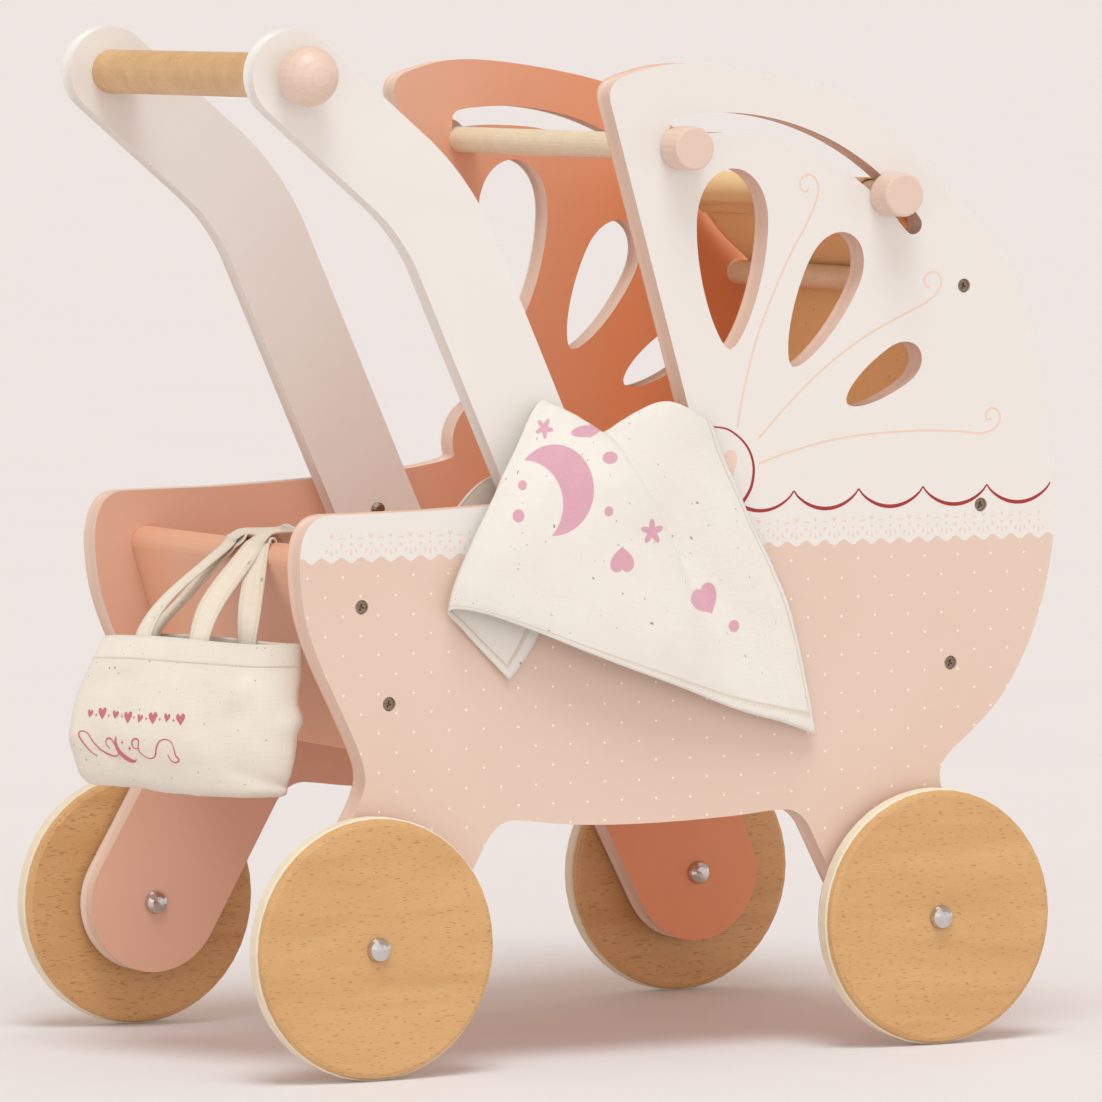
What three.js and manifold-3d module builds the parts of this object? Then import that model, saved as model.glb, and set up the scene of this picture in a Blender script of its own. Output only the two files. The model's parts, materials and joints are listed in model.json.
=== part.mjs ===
// Wooden doll's pram: two cut-out side panels, a tub, a bow hood, a push handle, four wheels,
// a cloth canopy, a tote bag and a blanket. Millimetres, +X to the hood end, +Z up, Y across.
import * as THREE from 'three';
import { mergeVertices } from 'three/addons/utils/BufferGeometryUtils.js';
import Module from 'manifold-3d';

const wasm = await Module();
wasm.setup();

// ---------------------------------------------------------------- driving dimensions
const GAP = 0.3; // between pieces that touch
// side panels
const PANEL_OUT = 136.5; // outer face from the centre plane
const PANEL_T = 15;
const PANEL_IN = PANEL_OUT - PANEL_T;
const LEG_R = 36.5; // round foot around each axle
const ROSETTE = [41, 320]; // centre of the round boss at the hood's foot
const ROSETTE_R = 24;
// wheels
const WHEEL_R = 70;
const WHEEL_T = 16;
const WHEEL_OUT = 156.5; // outer face of a wheel from the centre plane
const HUB_X = 171; // half the wheelbase
const WOOD_R = 69.2;
const TYRE_W = 9;
const TYRE_DEPTH = 3.6;
const PIN_R = 3;
// tub
const REAR_T = 18; // rear panel, its top rounded over
const REAR_TOP = [-175.5, 270.5]; // centre of the round top
const REAR_DIR = [0.294, -0.956]; // down the panel
const REAR_LEN = 102;
const FRONT_T = 15;
const FRONT_TOP = [223.5, 365];
const FRONT_DIR = [-0.2166, -0.9763];
const FRONT_LEN = 197;
const FLOOR_Z = 174;
const FLOOR_T = 10;
// hood
const TRACK = [45, 348]; // centre of the arc that the front hood bar follows
const TRACK_R = 155.6;
const TRACK_HALF = 7.8; // half the width of the slot
const TRACK_FRONT = 39.5; // degrees above +X
const NOTCH = [20.5, 490.5]; // centre of the seat at the rear end of the slot
const BAR_R = 7.3;
const BAR_FRONT_DEG = 47.9; // where the front bar stands
const FIXED_DOWEL = [197, 413];
const FIXED_DOWEL_R = 7;
const KNOB_R = 11.75;
const KNOB_L = 18.2;
const CANOPY_HALF = 117; // half the canopy's width
const CLOTH = 1.4;
// push handle
const ARM_T = 12;
const ARM_HALF = 22; // half the width of an arm
const GRIP = [-200.5, 530.5]; // axis of the handle bar
const ARM_BEND = [-117, 460.5];
const ARM_FOOT = [-12.1, 225];
const ARM_BEND_R = 130;
const GRIP_R = 12;
const BALL_R = 16.2;
const BALL_Y = 137;
const TENON_R = 5;
// screws: x, z of the five screws in each side panel
const SCREWS = [
  ['rear_upper', -170.2, 250],
  ['rear_lower', -154.2, 198],
  ['front_lower', 188.6, 207],
  ['front_upper', 207.6, 293],
  ['hood', FIXED_DOWEL[0], FIXED_DOWEL[1]],
];
const SCREW_HEAD_R = 3.6;
const SCREW_SINK = 1.4; // head below the panel's face
const SCREW_R = 1.7;
const SCREW_LEN = 34;
const BRACE_SCREWS = [
  ['upper', -38.8, 285],
  ['lower', -16.6, 235],
];

const deg = Math.PI / 180;

// ---------------------------------------------------------------- solids
// One closed body: shared vertices merged, empty triangles dropped, faces out.
function closed(geometry) {
  const g = geometry.clone();
  g.deleteAttribute('normal');
  g.deleteAttribute('uv');
  const merged = mergeVertices(g, 1e-4);
  const p = merged.attributes.position;
  const kept = [];
  let volume = 0;
  const a = new THREE.Vector3();
  const b = new THREE.Vector3();
  const c = new THREE.Vector3();
  for (let i = 0; i < merged.index.count; i += 3) {
    const [u, v, w] = [0, 1, 2].map((k) => merged.index.getX(i + k));
    if (u === v || v === w || w === u) continue;
    kept.push(u, v, w);
    a.fromBufferAttribute(p, u);
    b.fromBufferAttribute(p, v);
    c.fromBufferAttribute(p, w);
    volume += a.dot(b.cross(c));
  }
  if (volume < 0) {
    for (let i = 0; i < kept.length; i += 3) {
      [kept[i], kept[i + 1]] = [kept[i + 1], kept[i]];
    }
  }
  merged.setIndex(kept);
  return merged;
}

function toManifold(geometry) {
  const g = closed(geometry);
  return new wasm.Manifold(new wasm.Mesh({
    numProp: 3,
    vertProperties: new Float32Array(g.attributes.position.array),
    triVerts: new Uint32Array(g.index.array),
  }));
}

function fromManifold(solid) {
  const mesh = solid.getMesh();
  const g = new THREE.BufferGeometry();
  const xyz = new Float32Array((mesh.vertProperties.length / mesh.numProp) * 3);
  for (let i = 0; i < xyz.length / 3; i += 1) {
    for (let k = 0; k < 3; k += 1) xyz[3 * i + k] = mesh.vertProperties[mesh.numProp * i + k];
  }
  g.setAttribute('position', new THREE.BufferAttribute(xyz, 3));
  g.setIndex(new THREE.BufferAttribute(new Uint32Array(mesh.triVerts), 1));
  return g;
}

const cut = (geometry, tools) => fromManifold(
  tools.reduce((solid, tool) => solid.subtract(toManifold(tool)), toManifold(geometry)),
);
const join = (geometries) => fromManifold(
  geometries.slice(1).reduce((s, g) => s.add(toManifold(g)), toManifold(geometries[0])),
);

// The points of an outline, without doubled ones and ones that lie on a straight run.
const FLATNESS = 0.16;
function distinct(points) {
  const kept = [];
  for (const p of points) {
    if (!kept.length || p.distanceTo(kept[kept.length - 1]) > 0.02) kept.push(p.clone());
  }
  while (kept[0].distanceTo(kept[kept.length - 1]) < 0.02) kept.pop();
  const lean = [kept[0]];
  let from = 0;
  for (let i = 2; i < kept.length; i += 1) {
    const chord = kept[i].clone().sub(kept[from]);
    const strays = kept.slice(from + 1, i).some(
      (p) => Math.abs(chord.cross(p.clone().sub(kept[from]))) > FLATNESS * chord.length(),
    );
    if (strays) {
      from = i - 1;
      lean.push(kept[from]);
    }
  }
  lean.push(kept[kept.length - 1]);
  return lean;
}

// A plate: an outline in x and z, from one y to another.
function plate(shape, yLow, yHigh, curveSegments = 10) {
  const points = distinct(shape.getPoints(curveSegments));
  if (THREE.ShapeUtils.isClockWise(points)) points.reverse();
  const outline = new THREE.Shape(points);
  outline.holes = (shape.holes || []).map((h) => new THREE.Path(distinct(h.getPoints(curveSegments))));
  const g = new THREE.ExtrudeGeometry(outline, { depth: yHigh - yLow, bevelEnabled: false });
  g.rotateX(Math.PI / 2);
  g.translate(0, yHigh, 0);
  return g;
}

// A turned piece on an axis along Y through (x, z), profile as [radius, y] pairs.
function turned(profile, x, z, segments = 32) {
  const g = new THREE.LatheGeometry(profile.map(([r, y]) => new THREE.Vector2(r, y)), segments);
  g.translate(x, 0, z);
  return g;
}

function peg(radius, yLow, yHigh, x, z, segments = 24) {
  return turned([[0, yLow], [radius, yLow], [radius, yHigh], [0, yHigh]], x, z, segments);
}

// Points of a rounded corner on a profile, centre (r, y), from one angle to another.
function corner(r, y, radius, from, to, steps) {
  const pts = [];
  for (let i = 0; i <= steps; i += 1) {
    const t = (from + ((to - from) * i) / steps) * deg;
    pts.push([r + radius * Math.cos(t), y + radius * Math.sin(t)]);
  }
  return pts;
}

// A closed loft through rings of equal length, with flat fans at both ends.
function loft(rings) {
  const n = rings[0].length;
  const xyz = rings.flat(2);
  const index = [];
  for (let k = 0; k + 1 < rings.length; k += 1) {
    for (let i = 0; i < n; i += 1) {
      const j = (i + 1) % n;
      const [a, b, c, d] = [k * n + i, k * n + j, (k + 1) * n + j, (k + 1) * n + i];
      index.push(a, b, c, a, c, d);
    }
  }
  const last = (rings.length - 1) * n;
  for (let i = 1; i + 1 < n; i += 1) {
    index.push(0, i + 1, i);
    index.push(last, last + i, last + i + 1);
  }
  const g = new THREE.BufferGeometry();
  g.setAttribute('position', new THREE.Float32BufferAttribute(xyz, 3));
  g.setIndex(index);
  return g;
}

// A flat band along a route, its width along `across` at each point.
function band(route, across, width, thickness, steps) {
  const line = new THREE.CatmullRomCurve3(route.map((p) => new THREE.Vector3(...p)));
  const side = new THREE.CatmullRomCurve3(across.map((p) => new THREE.Vector3(...p)));
  const rings = [];
  for (let i = 0; i <= steps; i += 1) {
    const t = i / steps;
    const p = line.getPoint(t);
    const tangent = line.getTangent(t);
    const w = side.getPoint(t);
    w.addScaledVector(tangent, -w.dot(tangent)).normalize();
    const n = tangent.clone().cross(w).normalize();
    rings.push([[-1, -1], [1, -1], [1, 1], [-1, 1]].map(([u, v]) => p.clone()
      .addScaledVector(w, (u * width) / 2)
      .addScaledVector(n, (v * thickness) / 2)
      .toArray()));
  }
  return loft(rings);
}

// ---------------------------------------------------------------- the group
const model = new THREE.Group();

function add(name, geometry, color, roughness, metalness = 0) {
  const g = closed(geometry);
  g.computeVertexNormals();
  const mesh = new THREE.Mesh(g, new THREE.MeshStandardMaterial({ color, roughness, metalness }));
  mesh.name = name;
  model.add(mesh);
  return mesh;
}

const PEACH = '#eebea4';
const WHITE = '#f1ece5';
const BEECH = '#dbaa6d';
const PALE_WOOD = '#e7dcc2';
const CALICO = '#ece4d6';
const STEEL = '#c9c9cb';
const SCREW_GREY = '#9a8f83';
const RUBBER = '#efe6d3';
const NYLON = '#dcd8d0';

const SIDES = [['right', -1], ['left', 1]];
// y range of something between two distances from the centre plane, on one side
const span = (side, near, far) => (side < 0 ? [-far, -near] : [near, far]);

// ---------------------------------------------------------------- side panels
// A window shaped like a petal: a blunt tip, widest near the far end.
function petal([tx, tz], [ex, ez], width, tipRound) {
  const length = Math.hypot(ex - tx, ez - tz);
  const [ux, uz] = [(ex - tx) / length, (ez - tz) / length];
  const at = (u, v) => [tx + ux * u - uz * v, tz + uz * u + ux * v];
  const half = width / 2;
  const wide = length * 0.69;
  const path = new THREE.Path();
  path.moveTo(...at(0, 0));
  path.bezierCurveTo(...at(1, tipRound), ...at(wide * 0.52, half), ...at(wide, half));
  path.bezierCurveTo(...at(wide + (length - wide) * 0.6, half), ...at(length, half * 0.55), ...at(length, 0));
  path.bezierCurveTo(...at(length, -half * 0.55), ...at(wide + (length - wide) * 0.6, -half), ...at(wide, -half));
  path.bezierCurveTo(...at(wide * 0.52, -half), ...at(1, -tipRound), ...at(0, 0));
  return path;
}

const onTrack = (angle, radius = TRACK_R) => [
  TRACK[0] + radius * Math.cos(angle * deg),
  TRACK[1] + radius * Math.sin(angle * deg),
];

// The slot of the hood bars: an arc with a round front end and, at its rear end, a seat below it.
function trackSlot() {
  const h = TRACK_HALF;
  const path = new THREE.Path();
  const rear = Math.acos((NOTCH[0] - TRACK[0]) / TRACK_R) / deg;
  const [rx, rz] = onTrack(rear);
  const [fx, fz] = onTrack(TRACK_FRONT);
  const inner = Math.acos((NOTCH[0] + h + 1.5 - TRACK[0]) / (TRACK_R - h)) / deg;
  path.absarc(TRACK[0], TRACK[1], TRACK_R + h, TRACK_FRONT * deg, (rear - 1) * deg, false);
  path.absarc(rx, rz, h, 100 * deg, 180 * deg, false);
  path.absarc(NOTCH[0], NOTCH[1], h, 180 * deg, 360 * deg, false);
  path.absarc(TRACK[0], TRACK[1], TRACK_R - h, inner * deg, TRACK_FRONT * deg, true);
  path.absarc(fx, fz, h, (TRACK_FRONT - 180) * deg, TRACK_FRONT * deg, false);
  return path;
}

function sideOutline() {
  const s = new THREE.Shape();
  const through = (points) => s.splineThru(points.map(([x, z]) => new THREE.Vector2(x, z)));
  // rail of the tub, from its rear corner to the rosette
  s.moveTo(-188, 296.8);
  through([[-130, 297.4], [-70, 299.8], [-17, 303.8], [10, 308.2], [15.5, 310.2]]);
  s.quadraticCurveTo(18.4, 311, 18, 314);
  s.absarc(...ROSETTE, ROSETTE_R, 194 * deg, 122 * deg, true);
  // leading edge of the hood, leaning back
  s.quadraticCurveTo(31, 342.5, 29.6, 347.5);
  s.lineTo(-18.4, 515);
  s.quadraticCurveTo(-20.8, 523.5, -12, 526.6);
  // three shallow lobes between the ribs of the hood
  through([[4, 531], [18, 532.8], [37, 532.4], [70, 528.2], [103, 521.6], [121, 515.6]]);
  s.quadraticCurveTo(126, 513.8, 133, 509.2);
  through([[160, 489.4], [183, 467.6], [207, 443], [218, 431]]);
  s.quadraticCurveTo(224, 424.4, 228, 415.5);
  through([[237, 389], [245, 355], [250.6, 325], [252.6, 306]]);
  // belly at the front
  through([[252.6, 290], [250, 266], [243.5, 238], [232.5, 211], [217, 187], [199, 170]]);
  s.bezierCurveTo(184, 158, 174, 153, 182.4, 133.4);
  // front leg and foot
  s.absarc(HUB_X - 1, WHEEL_R, LEG_R, 23.5 * deg, -153.4 * deg, true);
  s.lineTo(104.6, 118);
  s.quadraticCurveTo(97.4, 133.4, 85, 133.6);
  // under-edge, hanging slightly
  through([[50, 131.4], [0, 130], [-42, 131.2], [-76, 135]]);
  s.quadraticCurveTo(-90, 137, -98.5, 123.6);
  // rear leg and foot
  s.absarc(-HUB_X, WHEEL_R, LEG_R, -30 * deg, -210 * deg, true);
  s.lineTo(-176.5, 132.8);
  // belly at the rear
  s.bezierCurveTo(-163, 156, -163.5, 160, -172.5, 180);
  through([[-180.5, 197], [-190.5, 217], [-197.6, 234], [-202, 250], [-204, 267]]);
  s.bezierCurveTo(-205, 283, -202, 296.8, -188, 296.8);
  return s;
}

const WINDOWS = [
  petal([51.5, 378.5], [54, 481.2], 48.6, 9),
  petal([88.6, 368.8], [127.6, 444.2], 38.6, 9),
  petal([121.4, 349.2], [171.2, 380], 27.4, 8.5),
];

function sidePanel(side) {
  const outline = sideOutline();
  outline.holes.push(trackSlot(), ...WINDOWS);
  const [y0, y1] = span(side, PANEL_IN, PANEL_OUT);
  const holes = [];
  for (const [, x, z] of SCREWS) {
    holes.push(peg(SCREW_R + GAP, y0 - 1, y1 + 1, x, z, 8));
    const depth = SCREW_SINK + 3.4;
    const [a, b] = span(side, PANEL_OUT - depth, PANEL_OUT + 1);
    holes.push(peg(SCREW_HEAD_R + GAP, a, b, x, z, 16));
  }
  for (const x of [-HUB_X, HUB_X]) holes.push(peg(PIN_R + GAP, y0 - 1, y1 + 1, x, WHEEL_R, 12));
  for (const [, x, z] of BRACE_SCREWS) {
    const [a, b] = span(side, PANEL_IN - 1, PANEL_IN + 10.5);
    holes.push(peg(SCREW_R + GAP, a, b, x, z, 8));
  }
  return cut(plate(outline, y0, y1, 6), holes);
}

for (const [label, side] of SIDES) {
  add(`side_panel_${label}`, sidePanel(side), PEACH, 0.45);
}

// ---------------------------------------------------------------- tub
// Outline of a slanting board: round or square top, cut square at its foot.
function boardOutline([tx, tz], [dx, dz], length, thickness, topRadius) {
  const h = thickness / 2;
  const at = (u, v) => [tx + dx * u - dz * v, tz + dz * u + dx * v];
  const s = new THREE.Shape();
  const r = topRadius;
  const slope = Math.atan2(dz, dx);
  s.moveTo(...at(length, -h));
  s.lineTo(...at(0, -h));
  s.absarc(...at(0, -h + r), r, slope - Math.PI / 2, slope - Math.PI, true);
  s.absarc(...at(0, h - r), r, slope - Math.PI, slope - 1.5 * Math.PI, true);
  s.lineTo(...at(length, h));
  return s;
}

const TUB_HALF = PANEL_IN - GAP;
const pilots = (names) => SIDES.flatMap(([, side]) => SCREWS
  .filter(([name]) => names.some((n) => name.startsWith(n)))
  .map(([, x, z]) => {
    const [a, b] = span(side, PANEL_OUT - SCREW_LEN - 2, PANEL_IN);
    return peg(SCREW_R + GAP, a, b, x, z, 8);
  }));

const rearBoard = plate(
  boardOutline(REAR_TOP, REAR_DIR, REAR_LEN, REAR_T, REAR_T / 2), -TUB_HALF, TUB_HALF, 8,
);
add('rear_panel', cut(rearBoard, pilots(['rear'])), PEACH, 0.45);

const frontBoard = plate(
  boardOutline([FRONT_TOP[0] - FRONT_DIR[0] * -4, FRONT_TOP[1] - 4], FRONT_DIR, FRONT_LEN - 4, FRONT_T, 4),
  -TUB_HALF,
  TUB_HALF,
  4,
);
add('front_panel', cut(frontBoard, pilots(['front'])), PEACH, 0.45);

// The floor's ends lean with the boards that they meet.
const rearFace = (z) => REAR_TOP[0] + ((z - REAR_TOP[1]) * REAR_DIR[0]) / REAR_DIR[1] + REAR_T / 2 / 0.956;
const frontFace = (z) => FRONT_TOP[0] + ((z - FRONT_TOP[1]) * FRONT_DIR[0]) / FRONT_DIR[1]
  - FRONT_T / 2 / 0.9763;
const floorShape = new THREE.Shape();
floorShape.moveTo(rearFace(FLOOR_Z) + 0.4, FLOOR_Z);
floorShape.lineTo(frontFace(FLOOR_Z) - 0.4, FLOOR_Z);
floorShape.lineTo(frontFace(FLOOR_Z + FLOOR_T) - 0.4, FLOOR_Z + FLOOR_T);
floorShape.lineTo(rearFace(FLOOR_Z + FLOOR_T) + 0.4, FLOOR_Z + FLOOR_T);
add('floor_panel', plate(floorShape, -TUB_HALF, TUB_HALF), PEACH, 0.5);

// ---------------------------------------------------------------- hood
const fixedDowel = peg(FIXED_DOWEL_R, -TUB_HALF, TUB_HALF, ...FIXED_DOWEL, 22);
add('hood_fixed_dowel', cut(fixedDowel, pilots(['hood'])), PALE_WOOD, 0.55);

const KNOB_IN = PANEL_OUT + 0.5;
const TENON_END = KNOB_IN + 11;

function hoodBar(x, z) {
  return turned([
    [0, -TENON_END], [4, -TENON_END], [4, -KNOB_IN + GAP], [BAR_R, -KNOB_IN + GAP],
    [BAR_R, KNOB_IN - GAP], [4, KNOB_IN - GAP], [4, TENON_END], [0, TENON_END],
  ], x, z, 22);
}

function knob(side, x, z) {
  const profile = [
    [4.3, KNOB_IN], ...corner(KNOB_R - 1, KNOB_IN + 1, 1, -90, 0, 1),
    ...corner(KNOB_R - 1.2, KNOB_IN + KNOB_L - 1.2, 1.2, 0, 90, 2),
    [0, KNOB_IN + KNOB_L], [0, TENON_END + 0.5], [4.3, TENON_END + 0.5], [4.3, KNOB_IN],
  ];
  return turned(profile.map(([r, y]) => [r, side * y]), x, z, 22);
}

const REAR_BAR = [NOTCH[0], NOTCH[1] - TRACK_HALF + BAR_R + GAP];
const FRONT_BAR = onTrack(BAR_FRONT_DEG);
for (const [name, at] of [['rear', REAR_BAR], ['front', FRONT_BAR]]) {
  add(`hood_bar_${name}`, hoodBar(...at), PALE_WOOD, 0.55);
  for (const [label, side] of SIDES) {
    add(`hood_knob_${name}_${label}`, knob(side, ...at), PEACH, 0.45);
  }
}

// Sleeve of the canopy around the front bar.
const SLEEVE_IN = BAR_R + GAP;
const SLEEVE_OUT = SLEEVE_IN + CLOTH;
add('canopy_sleeve', turned([
  [SLEEVE_IN, -CANOPY_HALF], [SLEEVE_OUT, -CANOPY_HALF],
  [SLEEVE_OUT, CANOPY_HALF], [SLEEVE_IN, CANOPY_HALF], [SLEEVE_IN, -CANOPY_HALF],
], ...FRONT_BAR, 22), CALICO, 0.95);

// Canopy: from the sleeve over the outside of the fixed dowel, then down inside the front board.
function canopyOutline() {
  const [bx, bz] = FRONT_BAR;
  const [fx, fz] = FIXED_DOWEL;
  const run = Math.hypot(fx - bx, fz - bz);
  const d = [(fx - bx) / run, (fz - bz) / run];
  const n = [-d[1], d[0]];
  const inner = [];
  const outer = [];
  const push = (x, z, nx, nz) => {
    inner.push([x, z]);
    outer.unshift([x + nx * CLOTH, z + nz * CLOTH]);
  };
  const r = FIXED_DOWEL_R + GAP;
  push(bx + n[0] * SLEEVE_IN + d[0] * 5.8, bz + n[1] * SLEEVE_IN + d[1] * 5.8, ...n);
  const from = Math.atan2(n[1], n[0]) / deg;
  const downs = [frontFace(361) - 0.6 - CLOTH, 361];
  const to = 9.5;
  for (let i = 0; i <= 4; i += 1) {
    const t = (from + ((to - from) * i) / 4) * deg;
    push(fx + r * Math.cos(t), fz + r * Math.sin(t), Math.cos(t), Math.sin(t));
  }
  push(downs[0], downs[1], 0.98, -0.02);
  push(frontFace(306) - 0.6 - CLOTH, 306, 0.98, -0.2);
  const s = new THREE.Shape();
  [...inner, ...outer].forEach(([x, z], i) => (i ? s.lineTo(x, z) : s.moveTo(x, z)));
  return s;
}
add('canopy', plate(canopyOutline(), -CANOPY_HALF, CANOPY_HALF), CALICO, 0.95);

// ---------------------------------------------------------------- push handle
// Outline of a bent board with round ends, along two straight runs joined by an arc.
function bentOutline(p0, bend, p1, half, radius) {
  const unit = (a, b) => {
    const l = Math.hypot(b[0] - a[0], b[1] - a[1]);
    return [(b[0] - a[0]) / l, (b[1] - a[1]) / l];
  };
  const d0 = unit(p0, bend);
  const d1 = unit(bend, p1);
  const a0 = Math.atan2(d0[1], d0[0]);
  const a1 = Math.atan2(d1[1], d1[0]);
  const tangent = radius * Math.tan((a0 - a1) / 2);
  const start = [bend[0] - d0[0] * tangent, bend[1] - d0[1] * tangent];
  const centre = [start[0] + d0[1] * radius, start[1] - d0[0] * radius];
  const s = new THREE.Shape();
  s.absarc(...p0, half, a0 - Math.PI / 2, a0 - 1.5 * Math.PI, true);
  s.absarc(...centre, radius + half, a0 + Math.PI / 2, a1 + Math.PI / 2, true);
  s.absarc(...p1, half, a1 + Math.PI / 2, a1 - Math.PI / 2, true);
  s.absarc(...centre, radius - half, a1 + Math.PI / 2, a0 + Math.PI / 2, false);
  return s;
}

for (const [label, side] of SIDES) {
  const [y0, y1] = span(side, PANEL_IN - GAP - ARM_T, PANEL_IN - GAP);
  const holes = [peg(TENON_R + GAP, y0 - 1, y1 + 1, ...GRIP, 20)];
  for (const [, x, z] of BRACE_SCREWS) holes.push(peg(SCREW_R + GAP, y0 - 1, y1 + 1, x, z, 8));
  const arm = plate(bentOutline(GRIP, ARM_BEND, ARM_FOOT, ARM_HALF, ARM_BEND_R), y0, y1, 14);
  add(`handle_arm_${label}`, cut(arm, holes), WHITE, 0.4);
}
const ARM_IN = PANEL_IN - GAP - ARM_T;
const GRIP_END = BALL_Y - 6;
add('handle_bar', turned([
  [0, -GRIP_END], [TENON_R, -GRIP_END], [TENON_R, -ARM_IN + GAP], [GRIP_R, -ARM_IN + GAP],
  [GRIP_R, ARM_IN - GAP], [TENON_R, ARM_IN - GAP], [TENON_R, GRIP_END], [0, GRIP_END],
], ...GRIP, 26), BEECH, 0.5);

for (const [label, side] of SIDES) {
  const flat = PANEL_IN - GAP + GAP - BALL_Y; // flat seat against the arm
  const from = Math.asin(flat / BALL_R) / deg;
  const profile = [
    [TENON_R + GAP, BALL_Y + flat],
    ...corner(0, BALL_Y, BALL_R, from, 90, 9),
    [0, GRIP_END + GAP], [TENON_R + GAP, GRIP_END + GAP], [TENON_R + GAP, BALL_Y + flat],
  ];
  const last = profile.length - 4;
  profile[last] = [0, BALL_Y + BALL_R];
  add(`handle_ball_${label}`, turned(profile.map(([r, y]) => [r, side * y]), ...GRIP, 24), PEACH, 0.4);
}

// ---------------------------------------------------------------- wheels
const WHEEL_MID = WHEEL_OUT - WHEEL_T / 2;
const WHEEL_IN = WHEEL_OUT - WHEEL_T;
const WHEELS = [['rear', -HUB_X], ['front', HUB_X]];

for (const [end, x] of WHEELS) {
  for (const [label, side] of SIDES) {
    const name = `${end}_${label}`;
    const flip = (profile) => profile.map(([r, y]) => [r, side * y]);
    const round = 3.2;
    const grooveR = WHEEL_R - TYRE_DEPTH - GAP;
    const groove = TYRE_W / 2 + GAP;
    add(`wheel_${name}`, turned(flip([
      [PIN_R + GAP, WHEEL_IN],
      ...corner(WOOD_R - round, WHEEL_IN + round, round, -90, 0, 2),
      [WOOD_R, WHEEL_MID - groove], [grooveR, WHEEL_MID - groove],
      [grooveR, WHEEL_MID + groove], [WOOD_R, WHEEL_MID + groove],
      ...corner(WOOD_R - round, WHEEL_OUT - round, round, 0, 90, 2),
      [PIN_R + GAP, WHEEL_OUT], [PIN_R + GAP, WHEEL_IN],
    ]), x, WHEEL_R, 44), BEECH, 0.5);
    const t = WHEEL_R - TYRE_DEPTH;
    add(`tyre_${name}`, turned(flip([
      [t, WHEEL_MID - TYRE_W / 2],
      [WHEEL_R - 0.8, WHEEL_MID - TYRE_W / 2], [WHEEL_R, WHEEL_MID - TYRE_W / 2 + 0.9],
      [WHEEL_R, WHEEL_MID + TYRE_W / 2 - 0.9], [WHEEL_R - 0.8, WHEEL_MID + TYRE_W / 2],
      [t, WHEEL_MID + TYRE_W / 2], [t, WHEEL_MID - TYRE_W / 2],
    ]), x, WHEEL_R, 44), RUBBER, 0.8);
    // axle pin with a domed head inside the leg
    const head = PANEL_IN - GAP;
    const dome = (r, h, y, sign) => [0, 1, 2, 3].map((i) => {
      const a = (90 - i * 30) * deg;
      return [r * Math.cos(a), y + sign * h * Math.sin(a)];
    });
    add(`axle_${name}`, turned(flip([
      ...dome(6.6, 4, head - 0.6, -1), [6.6, head], [PIN_R, head],
      [PIN_R, WHEEL_OUT + 2.2], [0, WHEEL_OUT + 2.2],
    ]), x, WHEEL_R, 18), STEEL, 0.2, 1);
    // push-on domed cap over the pin's outer end
    const base = WHEEL_OUT + 0.4;
    add(`hub_cap_${name}`, turned(flip([
      [PIN_R + GAP, base], [6.6, base],
      ...dome(6.6, 4, base + 0.6, 1).reverse(),
      [0, WHEEL_OUT + 2.6], [PIN_R + GAP, WHEEL_OUT + 2.6], [PIN_R + GAP, base],
    ]), x, WHEEL_R, 18), STEEL, 0.15, 1);
    // spacer between leg and wheel
    add(`spacer_${name}`, turned(flip([
      [PIN_R + GAP, PANEL_OUT + GAP], [8, PANEL_OUT + GAP],
      [8, WHEEL_IN - GAP], [PIN_R + GAP, WHEEL_IN - GAP], [PIN_R + GAP, PANEL_OUT + GAP],
    ]), x, WHEEL_R, 20), NYLON, 0.5);
  }
}

// ---------------------------------------------------------------- screws
// Countersunk screw with a cross recess, its head's face at y = top, pointing to the centre plane.
function screw(side, x, z, top, length, headR, sink) {
  const body = turned([
    [0, top], [headR, top], [headR, top - 0.6], [SCREW_R, top - 0.6 - sink],
    [SCREW_R, top - length + 3], [0.3, top - length], [0, top - length],
  ].map(([r, y]) => [r, side * y]), x, z, 12);
  const bars = [0, 1].map((k) => {
    const bar = new THREE.BoxGeometry(k ? 0.9 : 3.8, 2.6, k ? 3.8 : 0.9);
    bar.rotateY(20 * deg);
    bar.translate(x, side * top, z);
    return bar;
  });
  return cut(body, bars);
}

for (const [label, side] of SIDES) {
  for (const [name, x, z] of SCREWS) {
    add(
      `screw_${name}_${label}`,
      screw(side, x, z, PANEL_OUT - SCREW_SINK, SCREW_LEN - SCREW_SINK, SCREW_HEAD_R, 2),
      SCREW_GREY,
      0.35,
      0.9,
    );
  }
  // round-headed screws that hold each arm from inside the tub
  for (const [name, x, z] of BRACE_SCREWS) {
    const face = ARM_IN - GAP;
    const profile = [
      [0, face - 2.4], [2.2, face - 2.2], [4, face - 1], [4, face], [SCREW_R, face],
      [SCREW_R, PANEL_IN + 8], [0.3, PANEL_IN + 10], [0, PANEL_IN + 10],
    ].map(([r, y]) => [r, side * y]);
    add(`arm_screw_${name}_${label}`, turned(profile, x, z, 12), SCREW_GREY, 0.35, 0.9);
  }
}

// ---------------------------------------------------------------- tote bag on the rear panel
const BAG_TOP = 227;
const BAG_BOTTOM = 150;
const BAG_WALL = 2;
// corners at the mouth and at the base, in plan, going round
const MOUTH = [[-190, -105], [-251, 15], [-224, 31], [-178.5, -99]];
const BASE = [[-196, -104], [-259, 12], [-224, 34], [-166, -90]];

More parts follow.
